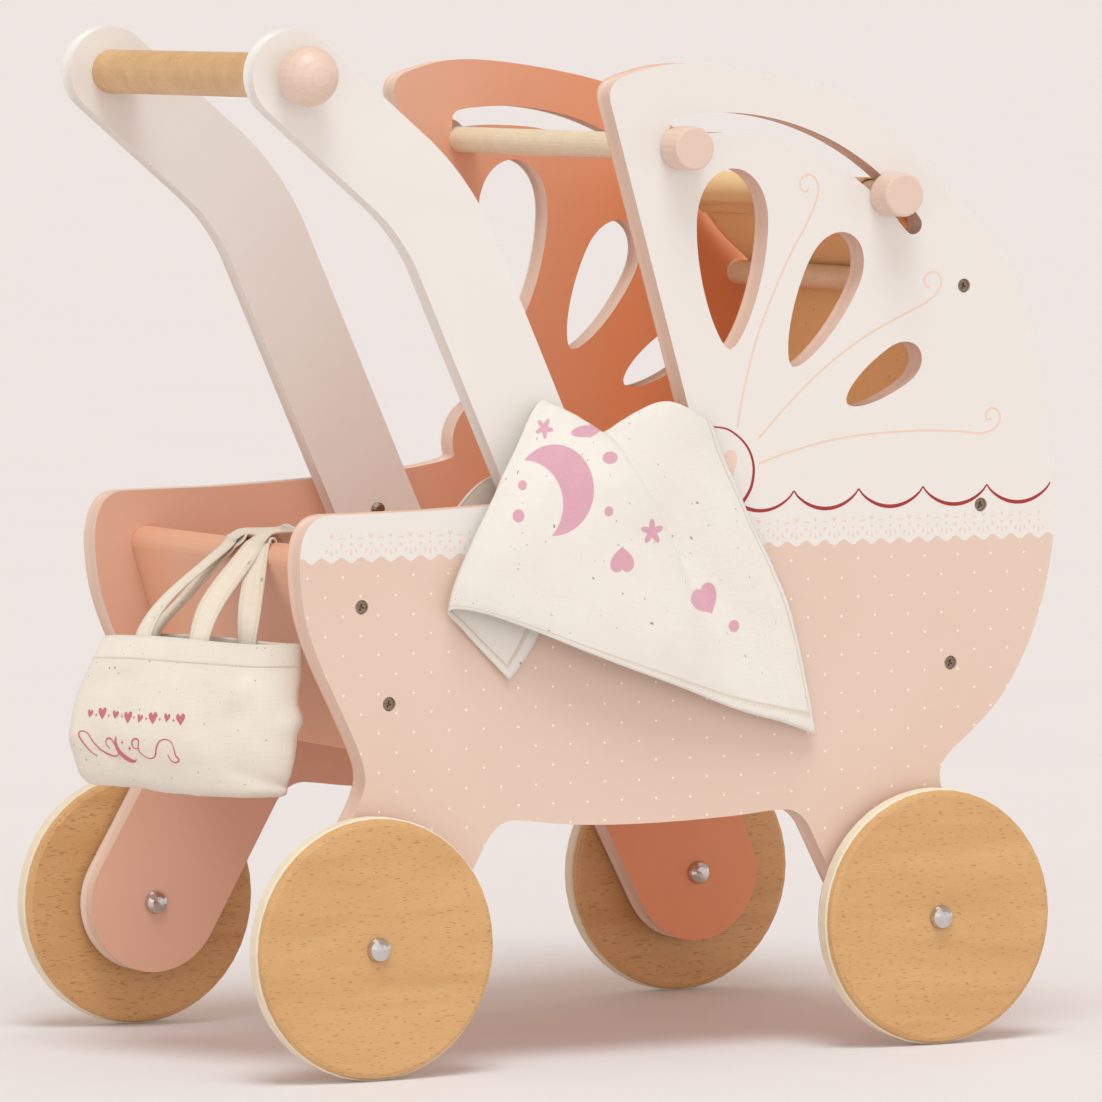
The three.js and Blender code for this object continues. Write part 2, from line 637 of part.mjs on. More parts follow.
function quadRing(quad, z, inset, r) {
  const centre = [0, 1].map((k) => quad.reduce((s, q) => s + q[k], 0) / 4);
  const shrink = quad.map((q, i) => {
    const prev = quad[(i + 3) % 4];
    const next = quad[(i + 1) % 4];
    const e = (a, b) => {
      const l = Math.hypot(b[0] - a[0], b[1] - a[1]);
      return [(b[0] - a[0]) / l, (b[1] - a[1]) / l];
    };
    const d0 = e(q, prev);
    const d1 = e(q, next);
    const sine = Math.abs(d0[0] * d1[1] - d0[1] * d1[0]);
    return [q[0] + ((d0[0] + d1[0]) * inset) / sine, q[1] + ((d0[1] + d1[1]) * inset) / sine];
  });
  const ring = [];
  shrink.forEach((q, i) => {
    const towards = (o) => {
      const l = Math.hypot(o[0] - q[0], o[1] - q[1]);
      return [q[0] + ((o[0] - q[0]) * r) / l, q[1] + ((o[1] - q[1]) * r) / l];
    };
    const a = towards(shrink[(i + 3) % 4]);
    const b = towards(shrink[(i + 1) % 4]);
    const mid = [q[0] * 0.5 + (a[0] + b[0]) * 0.25, q[1] * 0.5 + (a[1] + b[1]) * 0.25];
    for (const p of [a, mid, b]) ring.push([p[0], p[1], z]);
  });
  return centre && ring;
}

add('tote_bag', loft([
  quadRing(BASE, BAG_BOTTOM + BAG_WALL, BAG_WALL, 3),
  quadRing(MOUTH, BAG_TOP, BAG_WALL, 2),
  quadRing(MOUTH, BAG_TOP, 0, 3),
  quadRing(BASE, BAG_BOTTOM, 0, 5),
]), CALICO, 0.95);

// straps, up from the bag and over the round top of the rear panel
const STRAP_W = 13;
const STRAP_T = 1.5;
const overRail = (angle, y, lift = 1.8) => {
  const r = REAR_T / 2 + lift;
  return [REAR_TOP[0] + r * Math.cos(angle * deg), y, REAR_TOP[1] + r * Math.sin(angle * deg)];
};
const Y_WISE = [0, 1, 0];
add('bag_strap_outer', band(
  [[-243, -7, 230], [-222, -7, 250], overRail(165, -8, 3.5), overRail(130, -9), overRail(100, -13),
    overRail(86, -20), overRail(100, -27), overRail(130, -31), overRail(165, -34, 3.5),
    [-217, -42, 248], [-228.5, -48, 230]],
  [Y_WISE, Y_WISE, Y_WISE, Y_WISE, Y_WISE, [1, 0, 0], [0, -1, 0], [0, -1, 0], [0, -1, 0],
    [0, -1, 0], [0, -1, 0]],
  STRAP_W, STRAP_T, 32,
), CALICO, 0.95);
add('bag_strap_inner', band(
  [[-212, 6, 230], [-203, 8, 250], overRail(165, 9, 3.5), overRail(130, 9, 3), overRail(100, 4, 4.4),
    overRail(92, -22, 5), overRail(100, -48, 4.4), overRail(130, -53, 3), overRail(165, -54, 3.5),
    [-198, -58, 250], [-201.5, -62, 230]],
  [Y_WISE, Y_WISE, Y_WISE, Y_WISE, [0.6, 0.8, 0], [1, 0, 0], [0.6, -0.8, 0], [0, -1, 0],
    [0, -1, 0], [0, -1, 0], [0, -1, 0]],
  STRAP_W, STRAP_T, 32,
), CALICO, 0.95);

// ---------------------------------------------------------------- blanket over the right rail
const outlineOf = (points) => {
  const s = new THREE.Shape();
  points.forEach(([x, z], i) => (i ? s.lineTo(x, z) : s.moveTo(x, z)));
  return s;
};
const blanketOut = plate(outlineOf([
  [-59, 353], [-22, 336], [13, 352], [36, 338], [56, 295], [88, 220], [101, 172], [60, 183],
  [-9, 201], [-72, 228], [-120, 250], [-106, 290], [-81, 329],
]), -142, -137.2);
const blanketOver = plate(outlineOf([[-16, 312], [12, 318], [12, 334], [-22, 334]]), -138, -101);
const blanketIn = plate(outlineOf([[-92, 302], [-22, 334], [12, 334], [16, 262], [-84, 252]]), -105.5, -101);
add('blanket', join([blanketOut, blanketOver, blanketIn]), CALICO, 0.95);

// ---------------------------------------------------------------- origin
// Bottom centre of the whole pram, on the floor.
model.updateMatrixWorld(true);
const box = new THREE.Box3().setFromObject(model, true);
model.position.set(
  -Math.round((box.min.x + box.max.x) * 500) / 1000,
  -Math.round((box.min.y + box.max.y) * 500) / 1000,
  -box.min.z,
);

export default model;
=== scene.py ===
import json
import math

import bmesh
import bpy
import mathutils
import mathutils.bvhtree
import mathutils.geometry
import mathutils.noise
from mathutils import Matrix, Vector

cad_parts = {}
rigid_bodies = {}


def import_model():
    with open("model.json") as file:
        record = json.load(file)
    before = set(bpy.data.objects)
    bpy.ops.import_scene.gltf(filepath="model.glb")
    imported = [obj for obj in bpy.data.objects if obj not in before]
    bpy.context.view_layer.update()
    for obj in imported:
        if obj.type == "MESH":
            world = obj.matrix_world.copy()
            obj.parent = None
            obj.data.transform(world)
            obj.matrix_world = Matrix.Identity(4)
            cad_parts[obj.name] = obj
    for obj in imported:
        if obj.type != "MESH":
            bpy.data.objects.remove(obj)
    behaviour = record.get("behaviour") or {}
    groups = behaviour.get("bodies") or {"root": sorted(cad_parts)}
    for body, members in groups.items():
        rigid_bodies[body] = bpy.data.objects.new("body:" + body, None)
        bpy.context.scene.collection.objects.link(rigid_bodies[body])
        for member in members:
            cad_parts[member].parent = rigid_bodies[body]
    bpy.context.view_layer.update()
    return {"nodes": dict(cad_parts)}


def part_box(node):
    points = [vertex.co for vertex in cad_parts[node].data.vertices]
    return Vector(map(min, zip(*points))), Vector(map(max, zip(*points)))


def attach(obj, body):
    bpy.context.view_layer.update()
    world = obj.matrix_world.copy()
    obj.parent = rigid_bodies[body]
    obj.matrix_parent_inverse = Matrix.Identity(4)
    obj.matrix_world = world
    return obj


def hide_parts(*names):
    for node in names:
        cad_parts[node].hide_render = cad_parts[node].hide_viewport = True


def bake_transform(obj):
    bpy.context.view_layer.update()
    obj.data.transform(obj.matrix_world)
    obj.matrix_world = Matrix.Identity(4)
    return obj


for leftover in list(bpy.data.objects):
    bpy.data.objects.remove(leftover)
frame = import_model()
nodes = frame["nodes"]

# The part's drawing dimensions are millimetres from the middle of the wheelbase.
WHEEL_LOW, WHEEL_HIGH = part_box("wheel_front_right")
HALF_WHEELBASE = 171.0
X0 = (WHEEL_LOW.x + WHEEL_HIGH.x) * 500 - HALF_WHEELBASE
FACE = 136.5  # outer face of a side panel from the centre plane
PANEL_T = 15.0
SIDES = {"right": -1, "left": 1}


def mm(x, y, z):
    """A point given in drawing millimetres, in the row frame's metres."""
    return Vector(((x + X0) / 1000, y / 1000, z / 1000))


# ---------------------------------------------------------------- camera
AZIMUTH, ELEVATION, ROLL = -27.48, 3.75, -0.15


def direction(azimuth, elevation):
    """Unit vector towards a place in the sky or a camera, from angles in degrees."""
    a, e = math.radians(azimuth), math.radians(elevation)
    return Vector((math.sin(a) * math.cos(e), -math.cos(a) * math.cos(e), math.sin(e)))


def place_camera():
    back, r = direction(AZIMUTH, ELEVATION), math.radians(ROLL)
    right = Vector((0, 0, 1)).cross(back).normalized()
    up = back.cross(right)
    turned_right = right * math.cos(r) + up * math.sin(r)
    turned_up = up * math.cos(r) - right * math.sin(r)
    data = bpy.data.cameras.new("camera")
    data.sensor_width = 36
    data.lens = 299.07
    data.clip_start, data.clip_end = 0.1, 2000
    camera = bpy.data.objects.new("camera", data)
    rows = Matrix((turned_right, turned_up, back)).transposed().to_4x4()
    camera.matrix_world = Matrix.Translation((-2.3053, -4.4627, 0.5958)) @ rows
    bpy.context.scene.collection.objects.link(camera)
    bpy.context.scene.camera = camera


place_camera()
bpy.context.scene.view_settings.view_transform = "Standard"
bpy.context.scene.view_settings.look = "None"


# ---------------------------------------------------------------- shader fields
def linear(r, g, b):
    """Linear colour of an 8-bit sRGB one."""
    def one(v):
        v /= 255
        return v / 12.92 if v <= 0.04045 else ((v + 0.055) / 1.055) ** 2.4
    return (one(r), one(g), one(b), 1.0)


LACE_X = 69.1  # a heart of the lace stands here, and every other step along
LACE_STEP = 11.68
LACE_EDGE = 275.2
LACE_FROM, LACE_TO = -192, 246
LACE_TOOTH = 1.9  # pitch of the fine teeth along the scallops
DOT_X, DOT_TOP = 109.9, 266.3
DOT_STEP, DOT_ROW = 20.8, 10.45
DOT_RADIUS, DOTS_BELOW = 0.66, 270


def feed(tree, inlet, value):
    """Give an inlet a field, another node's socket or a plain value."""
    if isinstance(value, Field):
        value = value.socket
    if isinstance(value, bpy.types.NodeSocket):
        tree.links.new(value, inlet)
    else:
        inlet.default_value = value


class Field:
    """A number over the surface, made from Math nodes."""

    def __init__(self, tree, socket):
        self.tree = tree
        self.socket = socket

    def calc(self, operation, *others, clamp=False):
        node = self.tree.nodes.new("ShaderNodeMath")
        node.operation = operation
        node.use_clamp = clamp
        for inlet, value in zip(node.inputs, (self, *others)):
            feed(self.tree, inlet, value)
        return Field(self.tree, node.outputs[0])

    def __add__(self, other):
        return self.calc("ADD", other)

    def __sub__(self, other):
        return self.calc("SUBTRACT", other)

    def __mul__(self, other):
        return self.calc("MULTIPLY", other)

    def __truediv__(self, other):
        return self.calc("DIVIDE", other)

    def __neg__(self):
        return self * -1

    def abs(self):
        return self.calc("ABSOLUTE")

    def low(self, other):
        return self.calc("MINIMUM", other)

    def high(self, other):
        return self.calc("MAXIMUM", other)

    def above(self, limit, soft=0.0):
        """1 where the field is above the limit, with a soft step if asked."""
        if not soft:
            return self.calc("GREATER_THAN", limit)
        return ((self - limit) / soft + 0.5).calc("ADD", 0, clamp=True)

    def wrap(self, period):
        """Distance from the nearest multiple of the period, signed."""
        return self - (self / period).calc("ROUND") * period


def hypot(a, b):
    return (a * a + b * b).calc("SQRT")


class Finish:
    """A material: a Principled shader and helpers that build on it."""

    def __init__(self, name, roughness=0.5, **sockets):
        self.material = bpy.data.materials.new(name)
        self.material.use_nodes = True
        self.tree = self.material.node_tree
        self.shader = self.tree.nodes["Principled BSDF"]
        self.shader.inputs["Roughness"].default_value = roughness
        for socket, value in sockets.items():
            self.shader.inputs[socket.replace("_", " ")].default_value = value

    def node(self, kind, **inputs):
        node = self.tree.nodes.new("ShaderNode" + kind)
        for name, value in inputs.items():
            feed(self.tree, node.inputs[name], value)
        return node

    def place(self, scale=(1, 1, 1), turn=(0, 0, 0)):
        """Object coordinates, scaled and turned."""
        coordinates = self.node("TexCoord").outputs["Object"]
        if scale == (1, 1, 1) and turn == (0, 0, 0):
            return coordinates
        mapping = self.node("Mapping", Vector=coordinates, Scale=scale)
        mapping.inputs["Rotation"].default_value = [math.radians(t) for t in turn]
        return mapping.outputs["Vector"]

    def cloth_place(self):
        node = self.node("UVMap")
        node.uv_map = "cloth"
        return node.outputs["UV"]

    def axes(self, vector):
        split = self.node("SeparateXYZ", Vector=vector)
        return [Field(self.tree, split.outputs[i]) for i in range(3)]

    def drawing(self):
        """x and z in drawing millimetres, and |y|."""
        x, y, z = self.axes(self.place())
        return x * 1000 - X0, y.abs() * 1000, z * 1000

    def noise(self, vector, scale, detail=2.0, rough=0.5, distortion=0.0):
        node = self.node(
            "TexNoise", Vector=vector, Scale=scale, Detail=detail, Roughness=rough, Distortion=distortion
        )
        return Field(self.tree, node.outputs["Fac"])

    def mix(self, first, second, amount):
        """A colour between two, each a colour or an earlier mix."""
        node = self.tree.nodes.new("ShaderNodeMix")
        node.data_type = "RGBA"
        for inlet, value in ((6, first), (7, second), (0, amount)):
            feed(self.tree, node.inputs[inlet], value)
        return node.outputs[2]

    def colour(self, value):
        feed(self.tree, self.shader.inputs["Base Color"], value)

    def roughness(self, field):
        self.tree.links.new(field.socket, self.shader.inputs["Roughness"])

    def bump(self, height, distance, strength=1.0):
        node = self.node("Bump", Height=height, Distance=distance, Strength=strength)
        self.tree.links.new(node.outputs["Normal"], self.shader.inputs["Normal"])


PEACH = linear(231, 206, 190)
PEACH_DEEP = linear(228, 198, 180)
# painted shade: the deep orange given to the side panels' inner faces
PEACH_PAINTED_SHADE = linear(234, 154, 110)
WHITE = linear(236, 231, 226)
RED = linear(158, 38, 40)
SWIRL = linear(240, 212, 194)
PINK = linear(222, 164, 182)


def painted(name, base, deep, roughness=0.42):
    """Sprayed satin paint: slight mottling, orange peel and uneven gloss."""
    f = Finish(name, roughness, Coat_Weight=0.12, Coat_Roughness=0.35)
    mottle = f.noise(f.place(), 9, 3)
    f.colour(f.mix(base, deep, mottle.above(0.5, 0.9)))
    f.roughness(f.noise(f.place(), 40, 2) * 0.16 + (roughness - 0.08))
    f.bump(f.noise(f.place(), 700, 2), 0.00006, 0.35)
    return f


def panel_paint():
    """Side panel: peach paint, white above a scalloped lace edge on the outer face, pin dots below, and
    painted shade on the inner faces: a deep orange, paler towards the rear.
    """
    f = painted("panel_paint", PEACH, PEACH_DEEP)
    x, y, z = f.drawing()
    outer = y.above(FACE - 0.12)
    wave = ((x - LACE_X - LACE_STEP / 2) * (2 * math.pi / LACE_STEP)).calc("COSINE")
    serration = (x * (2 * math.pi / LACE_TOOTH)).calc("SINE") * 0.22 * (-wave).high(0)
    edge = wave * 1.5 + serration + LACE_EDGE
    white = (z - edge).above(0, 0.25) * outer
    # pin dots, in staggered rows
    row = ((z - DOT_TOP) / DOT_ROW).calc("ROUND")
    shift = row.calc("PINGPONG", 1) * (DOT_STEP / 2)
    dot = hypot((x - DOT_X + shift).wrap(DOT_STEP), z - DOT_TOP - row * DOT_ROW)
    dots = (-dot).above(-DOT_RADIUS, 0.25) * outer * (-z).above(-DOTS_BELOW)
    # painted shade: the inner faces get a deep orange for the shade inside the pram, deepest under the hood
    # and paler towards the rear tub
    inner = (-y).above(-(FACE - PANEL_T + 0.05), 0.1)
    before = f.shader.inputs["Base Color"].links[0].from_socket
    inner_painted_shade = f.mix(PEACH_PAINTED_SHADE, PEACH_DEEP, (-x).above(-40, 160) * 0.6)
    with_inner_shade = f.mix(before, inner_painted_shade, inner)
    dotted = f.mix(with_inner_shade, linear(252, 240, 226), dots)
    f.colour(f.mix(dotted, WHITE, white))
    return f


def wood(name, light, dark, fleck, along, roughness=0.45, fleck_amount=0.5):
    """Clear-lacquered beech: growth bands, fine pores and short darker flecks along the grain."""
    f = Finish(name, roughness, Coat_Weight=0.2, Coat_Roughness=0.3)
    turn = {"x": (0, 4, 0), "y": (0, 0, 90), "z": (0, 90, 0)}[along]
    band_place = f.place((5, 42, 42), turn)
    bands = f.noise(band_place, 1.6, 4, 0.55, 0.6)
    soft = f.noise(f.place((3, 9, 9), turn), 1.5, 2)
    pores = f.noise(f.place((90, 1500, 1500), turn), 1, 2, 0.6)
    flecks = f.noise(f.place((210, 1150, 1150), turn), 1, 1, 0.4).above(0.665, 0.06)
    tone = f.mix(light, dark, (bands * 0.75 + soft * 0.5 - 0.12).above(0.5, 0.55))
    tone = f.mix(tone, dark, (pores - 0.5).high(0) * 1.3)
    f.colour(f.mix(tone, fleck, flecks * fleck_amount))
    f.roughness(bands * 0.15 + (roughness - 0.06))
    f.bump(pores - flecks * 0.5, 0.00005, 0.5)
    return f


def weave(f, u, v, pitch):
    """Plain weave: threads that go over and under by turns, as a height from 0 to 1."""
    across = (u * (math.pi / pitch)).calc("SINE")
    along = (v * (math.pi / pitch)).calc("SINE")
    return (across * along).abs().calc("SQRT")


def calico(name, base, shade, prints=None, hem=None):
    """Unbleached cotton: weave, slubs, seed specks, and whatever is printed or stitched on it."""
    f = Finish(name, 0.9, Sheen_Weight=0.25, Sheen_Roughness=0.6, Subsurface_Weight=0.06)
    f.shader.inputs["Subsurface Radius"].default_value = (0.004, 0.003, 0.002)
    place = f.cloth_place()
    u, v, _ = f.axes(place)
    threads = weave(f, u, v, 0.00055)
    slub, slub_v = (
        f.noise(f.node("Mapping", Vector=place, Scale=scale).outputs["Vector"], 1, 2)
        for scale in ((60, 900, 1), (900, 60, 1))
    )
    cloudy = f.noise(place, 28, 3)
    tone = f.mix(base, shade, (cloudy * 0.6 + slub * 0.3 + slub_v * 0.3).above(0.62, 0.5) * 0.5)
    tone = f.mix(tone, shade, (slub.above(0.68, 0.08) + slub_v.above(0.7, 0.08)) * 0.35)
    specks = f.noise(place, 420, 0).above(0.80, 0.02) * f.noise(place, 60, 1).above(0.52, 0.1)
    tone = f.mix(tone, linear(120, 96, 72), specks * 0.7)
    height = threads * 0.5 + slub * 0.25 + slub_v * 0.25
    if hem:
        tone, height = hem(f, u, v, tone, height)
    if prints:
        tone = prints(f, u, v, tone, threads)
    f.colour(tone)
    f.bump(height, 0.00035, 0.6)
    return f


def metal(name, base, roughness, scratch):
    f = Finish(name, roughness, Metallic=1.0)
    worn = f.noise(f.place(), 300, 3)
    f.colour(f.mix(base, tuple(0.7 * c for c in base[:3]) + (1.0,), worn.above(0.55, 0.5) * 0.5))
    f.roughness(f.noise(f.place((200, 1400, 1400)), 1, 2) * scratch + roughness)
    f.bump(f.noise(f.place(), 1500, 2), 0.00003, 0.3)
    return f


peach = painted("peach_paint", PEACH, PEACH_DEEP)
board_paint = painted("board_paint", linear(236, 182, 150), linear(232, 172, 138))
panel = panel_paint()
white = painted("white_paint", linear(240, 236, 231), linear(234, 229, 223), 0.38)
beech = wood("beech", linear(222, 178, 122), linear(200, 150, 94), linear(150, 98, 56), "x")
beech_bar = wood("beech_bar", linear(224, 184, 130), linear(204, 160, 106), linear(164, 112, 66), "y")
pale_wood = wood(
    "pale_dowel", linear(240, 226, 200), linear(230, 212, 180), linear(206, 180, 142), "y", 0.5, 0.4
)
rubber = Finish("cream_rubber", 0.7)
rubber.colour(rubber.mix(linear(240, 230, 208), linear(228, 214, 188), rubber.noise(rubber.place(), 60, 3)))
rubber.bump(rubber.noise(rubber.place(), 900, 3), 0.0001, 0.5)
chrome = metal("chrome", linear(214, 212, 210), 0.12, 0.1)
bronze = metal("bronzed_steel", linear(150, 134, 118), 0.3, 0.2)
nylon = Finish("nylon", 0.5)
nylon.colour(nylon.mix(linear(226, 222, 212), linear(212, 206, 196), nylon.noise(nylon.place(), 80, 2)))


# ---------------------------------------------------------------- studio
def studio():
    scene = bpy.context.scene
    floor_mesh = bpy.data.meshes.new("floor")
    r = 400
    floor_mesh.from_pydata([(-r, -r, 0), (r, -r, 0), (r, r, 0), (-r, r, 0)], [], [(0, 1, 2, 3)])
    floor = bpy.data.objects.new("floor", floor_mesh)
    scene.collection.objects.link(floor)
    f = Finish("floor", 0.75, Specular_IOR_Level=0.2, Emission_Strength=1.0)
    f.shader.inputs["Emission Color"].default_value = (0.045, 0.042, 0.043, 1)
    f.colour(f.mix(linear(227, 224, 225), linear(224, 221, 222), f.noise(f.place(), 3, 2)))
    floor_mesh.materials.append(f.material)

    world = bpy.data.worlds.new("studio")
    scene.world = world
    world.use_nodes = True
    tree = world.node_tree
    back = tree.nodes["Background"]
    split = tree.nodes.new("ShaderNodeSeparateXYZ")
    ramp = tree.nodes.new("ShaderNodeValToRGB")
    place = tree.nodes.new("ShaderNodeTexCoord")
    tree.links.new(place.outputs["Generated"], split.inputs[0])
    tree.links.new(split.outputs["Z"], ramp.inputs["Fac"])
    tree.links.new(ramp.outputs["Color"], back.inputs["Color"])
    near, above = ramp.color_ramp.elements
    near.position, near.color = 0.10, (1.03, 1.0, 1.01, 1)
    above.position, above.color = 0.32, (0.61, 0.485, 0.405, 1)
    back.inputs["Strength"].default_value = 1.0

    for name, azimuth, elevation, strength, spread, tint in (
        ("top", -25, 67, 1.62, 28, (0.86, 0.99, 1.04)),
        ("front", -18, 22, 0.38, 60, (0.86, 0.99, 1.04)),
    ):
        data = bpy.data.lights.new(name, "SUN")
        data.energy = strength
        data.angle = math.radians(spread)
        data.color = tint
        light = bpy.data.objects.new(name, data)
        light.rotation_mode = "QUATERNION"
        light.rotation_quaternion = direction(azimuth, elevation).to_track_quat("Z", "Y")
        scene.collection.objects.link(light)


studio()


# ---------------------------------------------------------------- CAD nodes kept
def shade_by_angle(degrees):
    """Modifier group: smooth faces, with edges sharper than the angle kept crisp."""
    group = bpy.data.node_groups.new("shade_by_angle", "GeometryNodeTree")
    for way in ("INPUT", "OUTPUT"):
        group.interface.new_socket("Geometry", in_out=way, socket_type="NodeSocketGeometry")
    start = group.nodes.new("NodeGroupInput")
    end = group.nodes.new("NodeGroupOutput")
    angle = group.nodes.new("GeometryNodeInputMeshEdgeAngle")
    less = group.nodes.new("FunctionNodeCompare")
    less.data_type, less.operation = "FLOAT", "LESS_THAN"
    less.inputs["B"].default_value = math.radians(degrees)
    faces = group.nodes.new("GeometryNodeSetShadeSmooth")
    edges = group.nodes.new("GeometryNodeSetShadeSmooth")
    edges.domain = "EDGE"
    link = group.links.new
    link(start.outputs[0], faces.inputs["Geometry"])
    link(faces.outputs["Geometry"], edges.inputs["Geometry"])
    link(angle.outputs["Unsigned Angle"], less.inputs["A"])
    link(less.outputs["Result"], edges.inputs["Shade Smooth"])
    link(edges.outputs["Geometry"], end.inputs[0])
    return group


SHADING = shade_by_angle(38)


def dress(name, finish):
    """A CAD node that stays: its finish, and smooth shading across its facets."""
    o = nodes[name]
    o.data.materials.clear()
    o.data.materials.append(finish.material)
    o.modifiers.new("shading", "NODES").node_group = SHADING


for end in ("rear", "front"):
    dress(f"hood_bar_{end}", pale_wood)
    for side in SIDES:
        dress(f"hood_knob_{end}_{side}", peach)
        dress(f"wheel_{end}_{side}", beech)
        dress(f"tyre_{end}_{side}", rubber)
        dress(f"axle_{end}_{side}", chrome)
        dress(f"hub_cap_{end}_{side}", chrome)
        dress(f"spacer_{end}_{side}", nylon)
dress("hood_fixed_dowel", pale_wood)
dress("handle_bar", beech_bar)
for side in SIDES:
    dress(f"handle_ball_{side}", peach)
    for screw in ("rear_upper", "rear_lower", "front_lower", "front_upper", "hood"):
        dress(f"screw_{screw}_{side}", bronze)
    for screw in ("upper", "lower"):
        dress(f"arm_screw_{screw}_{side}", bronze)


# ---------------------------------------------------------------- mesh helpers
def new_piece(name, points, faces, finish, smooth=True):
    mesh = bpy.data.meshes.new(name)
    mesh.from_pydata([tuple(p) for p in points], [], faces)
    mesh.materials.append(finish.material)
    mesh.polygons.foreach_set("use_smooth", [smooth] * len(mesh.polygons))
    mesh.update()
    o = bpy.data.objects.new(name, mesh)
    bpy.context.scene.collection.objects.link(o)
    return o


def face_outwards(o):
    """Turn every face of a closed piece outwards."""
    bm = bmesh.new()
    bm.from_mesh(o.data)
    bmesh.ops.recalc_face_normals(bm, faces=bm.faces)
    bm.to_mesh(o.data)
    bm.free()


def settle(o, body, slot, *stands_for):
    """The piece rides on a body and stands for CAD nodes, which it hides; slot is not used."""
    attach(o, body)
    if stands_for:
        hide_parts(*stands_for)


# ---------------------------------------------------------------- boards with rounded edges
def face_loops(node, y_face):
    """Outlines of a board's flat face at one y, as lists of (x, z) in metres, longest first."""
    bm = bmesh.new()
    bm.from_mesh(nodes[node].data)
    bmesh.ops.remove_doubles(bm, verts=bm.verts, dist=1e-6)
    flat = [
        f for f in bm.faces
        if abs(f.normal.y) > 0.99 and all(abs(v.co.y - y_face) < 1e-5 for v in f.verts)
    ]
    members = set(flat)  # asked, never walked: the order of a set of faces changes between runs
    after = {}
    for face in flat:
        for loop in face.loops:
            if sum(other.face in members for other in loop.edge.link_loops) == 1:
                after[loop.vert.index] = (loop.link_loop_next.vert.index, loop.vert.co.copy())
    loops = []
    while after:
        start = next(iter(after))
        points, at = [], start
        while at in after:
            at, co = after.pop(at)
            points.append(Vector((co.x, co.z)))
        loops.append(points)
    bm.free()
    return sorted(loops, key=lambda p: -sum((a - b).length for a, b in zip(p, p[1:])))


def inset(points, distance, sign):
    """An outline moved sideways, mitred at its corners."""
    moved = []
    count = len(points)
    for i, p in enumerate(points):
        before = (p - points[i - 1]).normalized()
        after = (points[(i + 1) % count] - p).normalized()
        n0, n1 = Vector((-before.y, before.x)), Vector((-after.y, after.x))
        moved.append(p + (n0 + n1) * (sign * distance / max(0.5, 1 + n0.dot(n1))))
    return moved


def flat_face(points, faces, caps):
    """Triangles between the outlines of a flat face; caps are lists of point numbers."""
    flat = [i for cap in caps for i in cap]
    places = [Vector((points[i][0], points[i][2])) for i in flat]
    edges, start = [], 0
    for cap in caps:
        edges += [(start + k, start + (k + 1) % len(cap)) for k in range(len(cap))]
        start += len(cap)
    found, _, triangles, origin, _, _ = mathutils.geometry.delaunay_2d_cdt(places, edges, [], 0, 1e-8, True)
    numbers = []
    for k, p in enumerate(found):
        if not origin[k]:
            points.append((p.x, points[flat[0]][1], p.y))
        numbers.append(flat[origin[k][0]] if origin[k] else len(points) - 1)
    for triangle in triangles:
        middle = sum((found[k] for k in triangle), Vector((0, 0))) / 3
        crossed = 0
        for i, j in edges:
            a, b = places[i], places[j]
            if (a.y > middle.y) != (b.y > middle.y):
                crossed += middle.x < a.x + (middle.y - a.y) * (b.x - a.x) / (b.y - a.y)
        if crossed % 2:
            faces.append(tuple(numbers[k] for k in triangle))


def refined(outline):
    """The outline with its short straight runs bent into the curves they stand for; corners stay."""
    count, out = len(outline), []
    runs = [(outline[(i + 1) % count] - p) for i, p in enumerate(outline)]

    def tangent(i, run):
        before, after = runs[i - 1].normalized(), runs[i].normalized()
        return (before + after).normalized() if before.dot(after) > 0.83 else run.normalized()

    for i, p in enumerate(outline):
        run, q = runs[i], outline[(i + 1) % count]
        out.append(p)
        if 0.002 < run.length < 0.04:
            a = tangent(i, run) * run.length
            b = tangent((i + 1) % count, run) * run.length
            for t in (0.25, 0.5, 0.75):
                out.append(
                    p * (2 * t ** 3 - 3 * t * t + 1) + a * (t ** 3 - 2 * t * t + t)
                    + q * (3 * t * t - 2 * t ** 3) + b * (t ** 3 - t * t)
                )
    return out


def rounded_plate(node, name, finish, slot, radius, steps=4, pocket=0.0048):
    """The CAD board's outline and openings, edges rounded over, and a blind hole at each screw."""
    low_y, high_y = (v.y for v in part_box(node))
    points, faces = [], []

    def ring(outline, y):
        points.extend((p.x, y, p.y) for p in outline)
        return list(range(len(points) - len(outline), len(points)))

    def wall(first, second):
        for i in range(len(first)):
            j = (i + 1) % len(first)
            faces.append((first[i], first[j], second[j], second[i]))

    edge_rings = {}
    for y_face, inward in ((low_y, 1), (high_y, -1)):
        loops = face_loops(node, y_face)
        caps = []
        for k, outline in enumerate(loops):
            around = sum((a - b).length for a, b in zip(outline, outline[1:]))
            if around > 0.05:
                outline, previous = refined(outline), None
                for step in range(steps + 1):
                    t = math.pi / 2 * step / steps
                    moved = inset(outline, radius * (1 - math.sin(t)), -inward)
                    now = ring(moved, y_face + inward * radius * (1 - math.cos(t)))
                    if previous is None:
                        caps.append(now)
                    else:
                        wall(previous, now)
                    previous = now
                edge_rings.setdefault(inward, []).append((outline, previous))
            else:
                mouth = ring(outline, y_face)
                foot = ring(outline, y_face + inward * pocket)
                caps.append(mouth)
                wall(mouth, foot)
                faces.append(foot[::-1])
        flat_face(points, faces, caps)
    # join the two rounded edges of each opening by a straight wall
    for outline, first in edge_rings[1]:
        start = outline[0]
        other_outline, other = min(
            edge_rings[-1], key=lambda pair: min((q - start).length for q in pair[0])
        )
        offset = min(range(len(other_outline)), key=lambda i: (other_outline[i] - start).length)
        matched = [other[(offset - i) % len(other)] for i in range(len(other))]
        wall(first, matched)
    o = new_piece(name, points, faces, finish)
    face_outwards(o)
    o.modifiers.new("shading", "NODES").node_group = SHADING
    settle(o, "frame", slot, node)
    return o


for side in SIDES:
    rounded_plate(f"side_panel_{side}", f"panel_{side}_rounded", panel, "peach_paint", 0.0024)
    rounded_plate(f"handle_arm_{side}", f"arm_{side}_rounded", white, "white_paint", 0.0026)
for board in ("rear_panel", "front_panel", "floor_panel"):
    dress(board, board_paint)


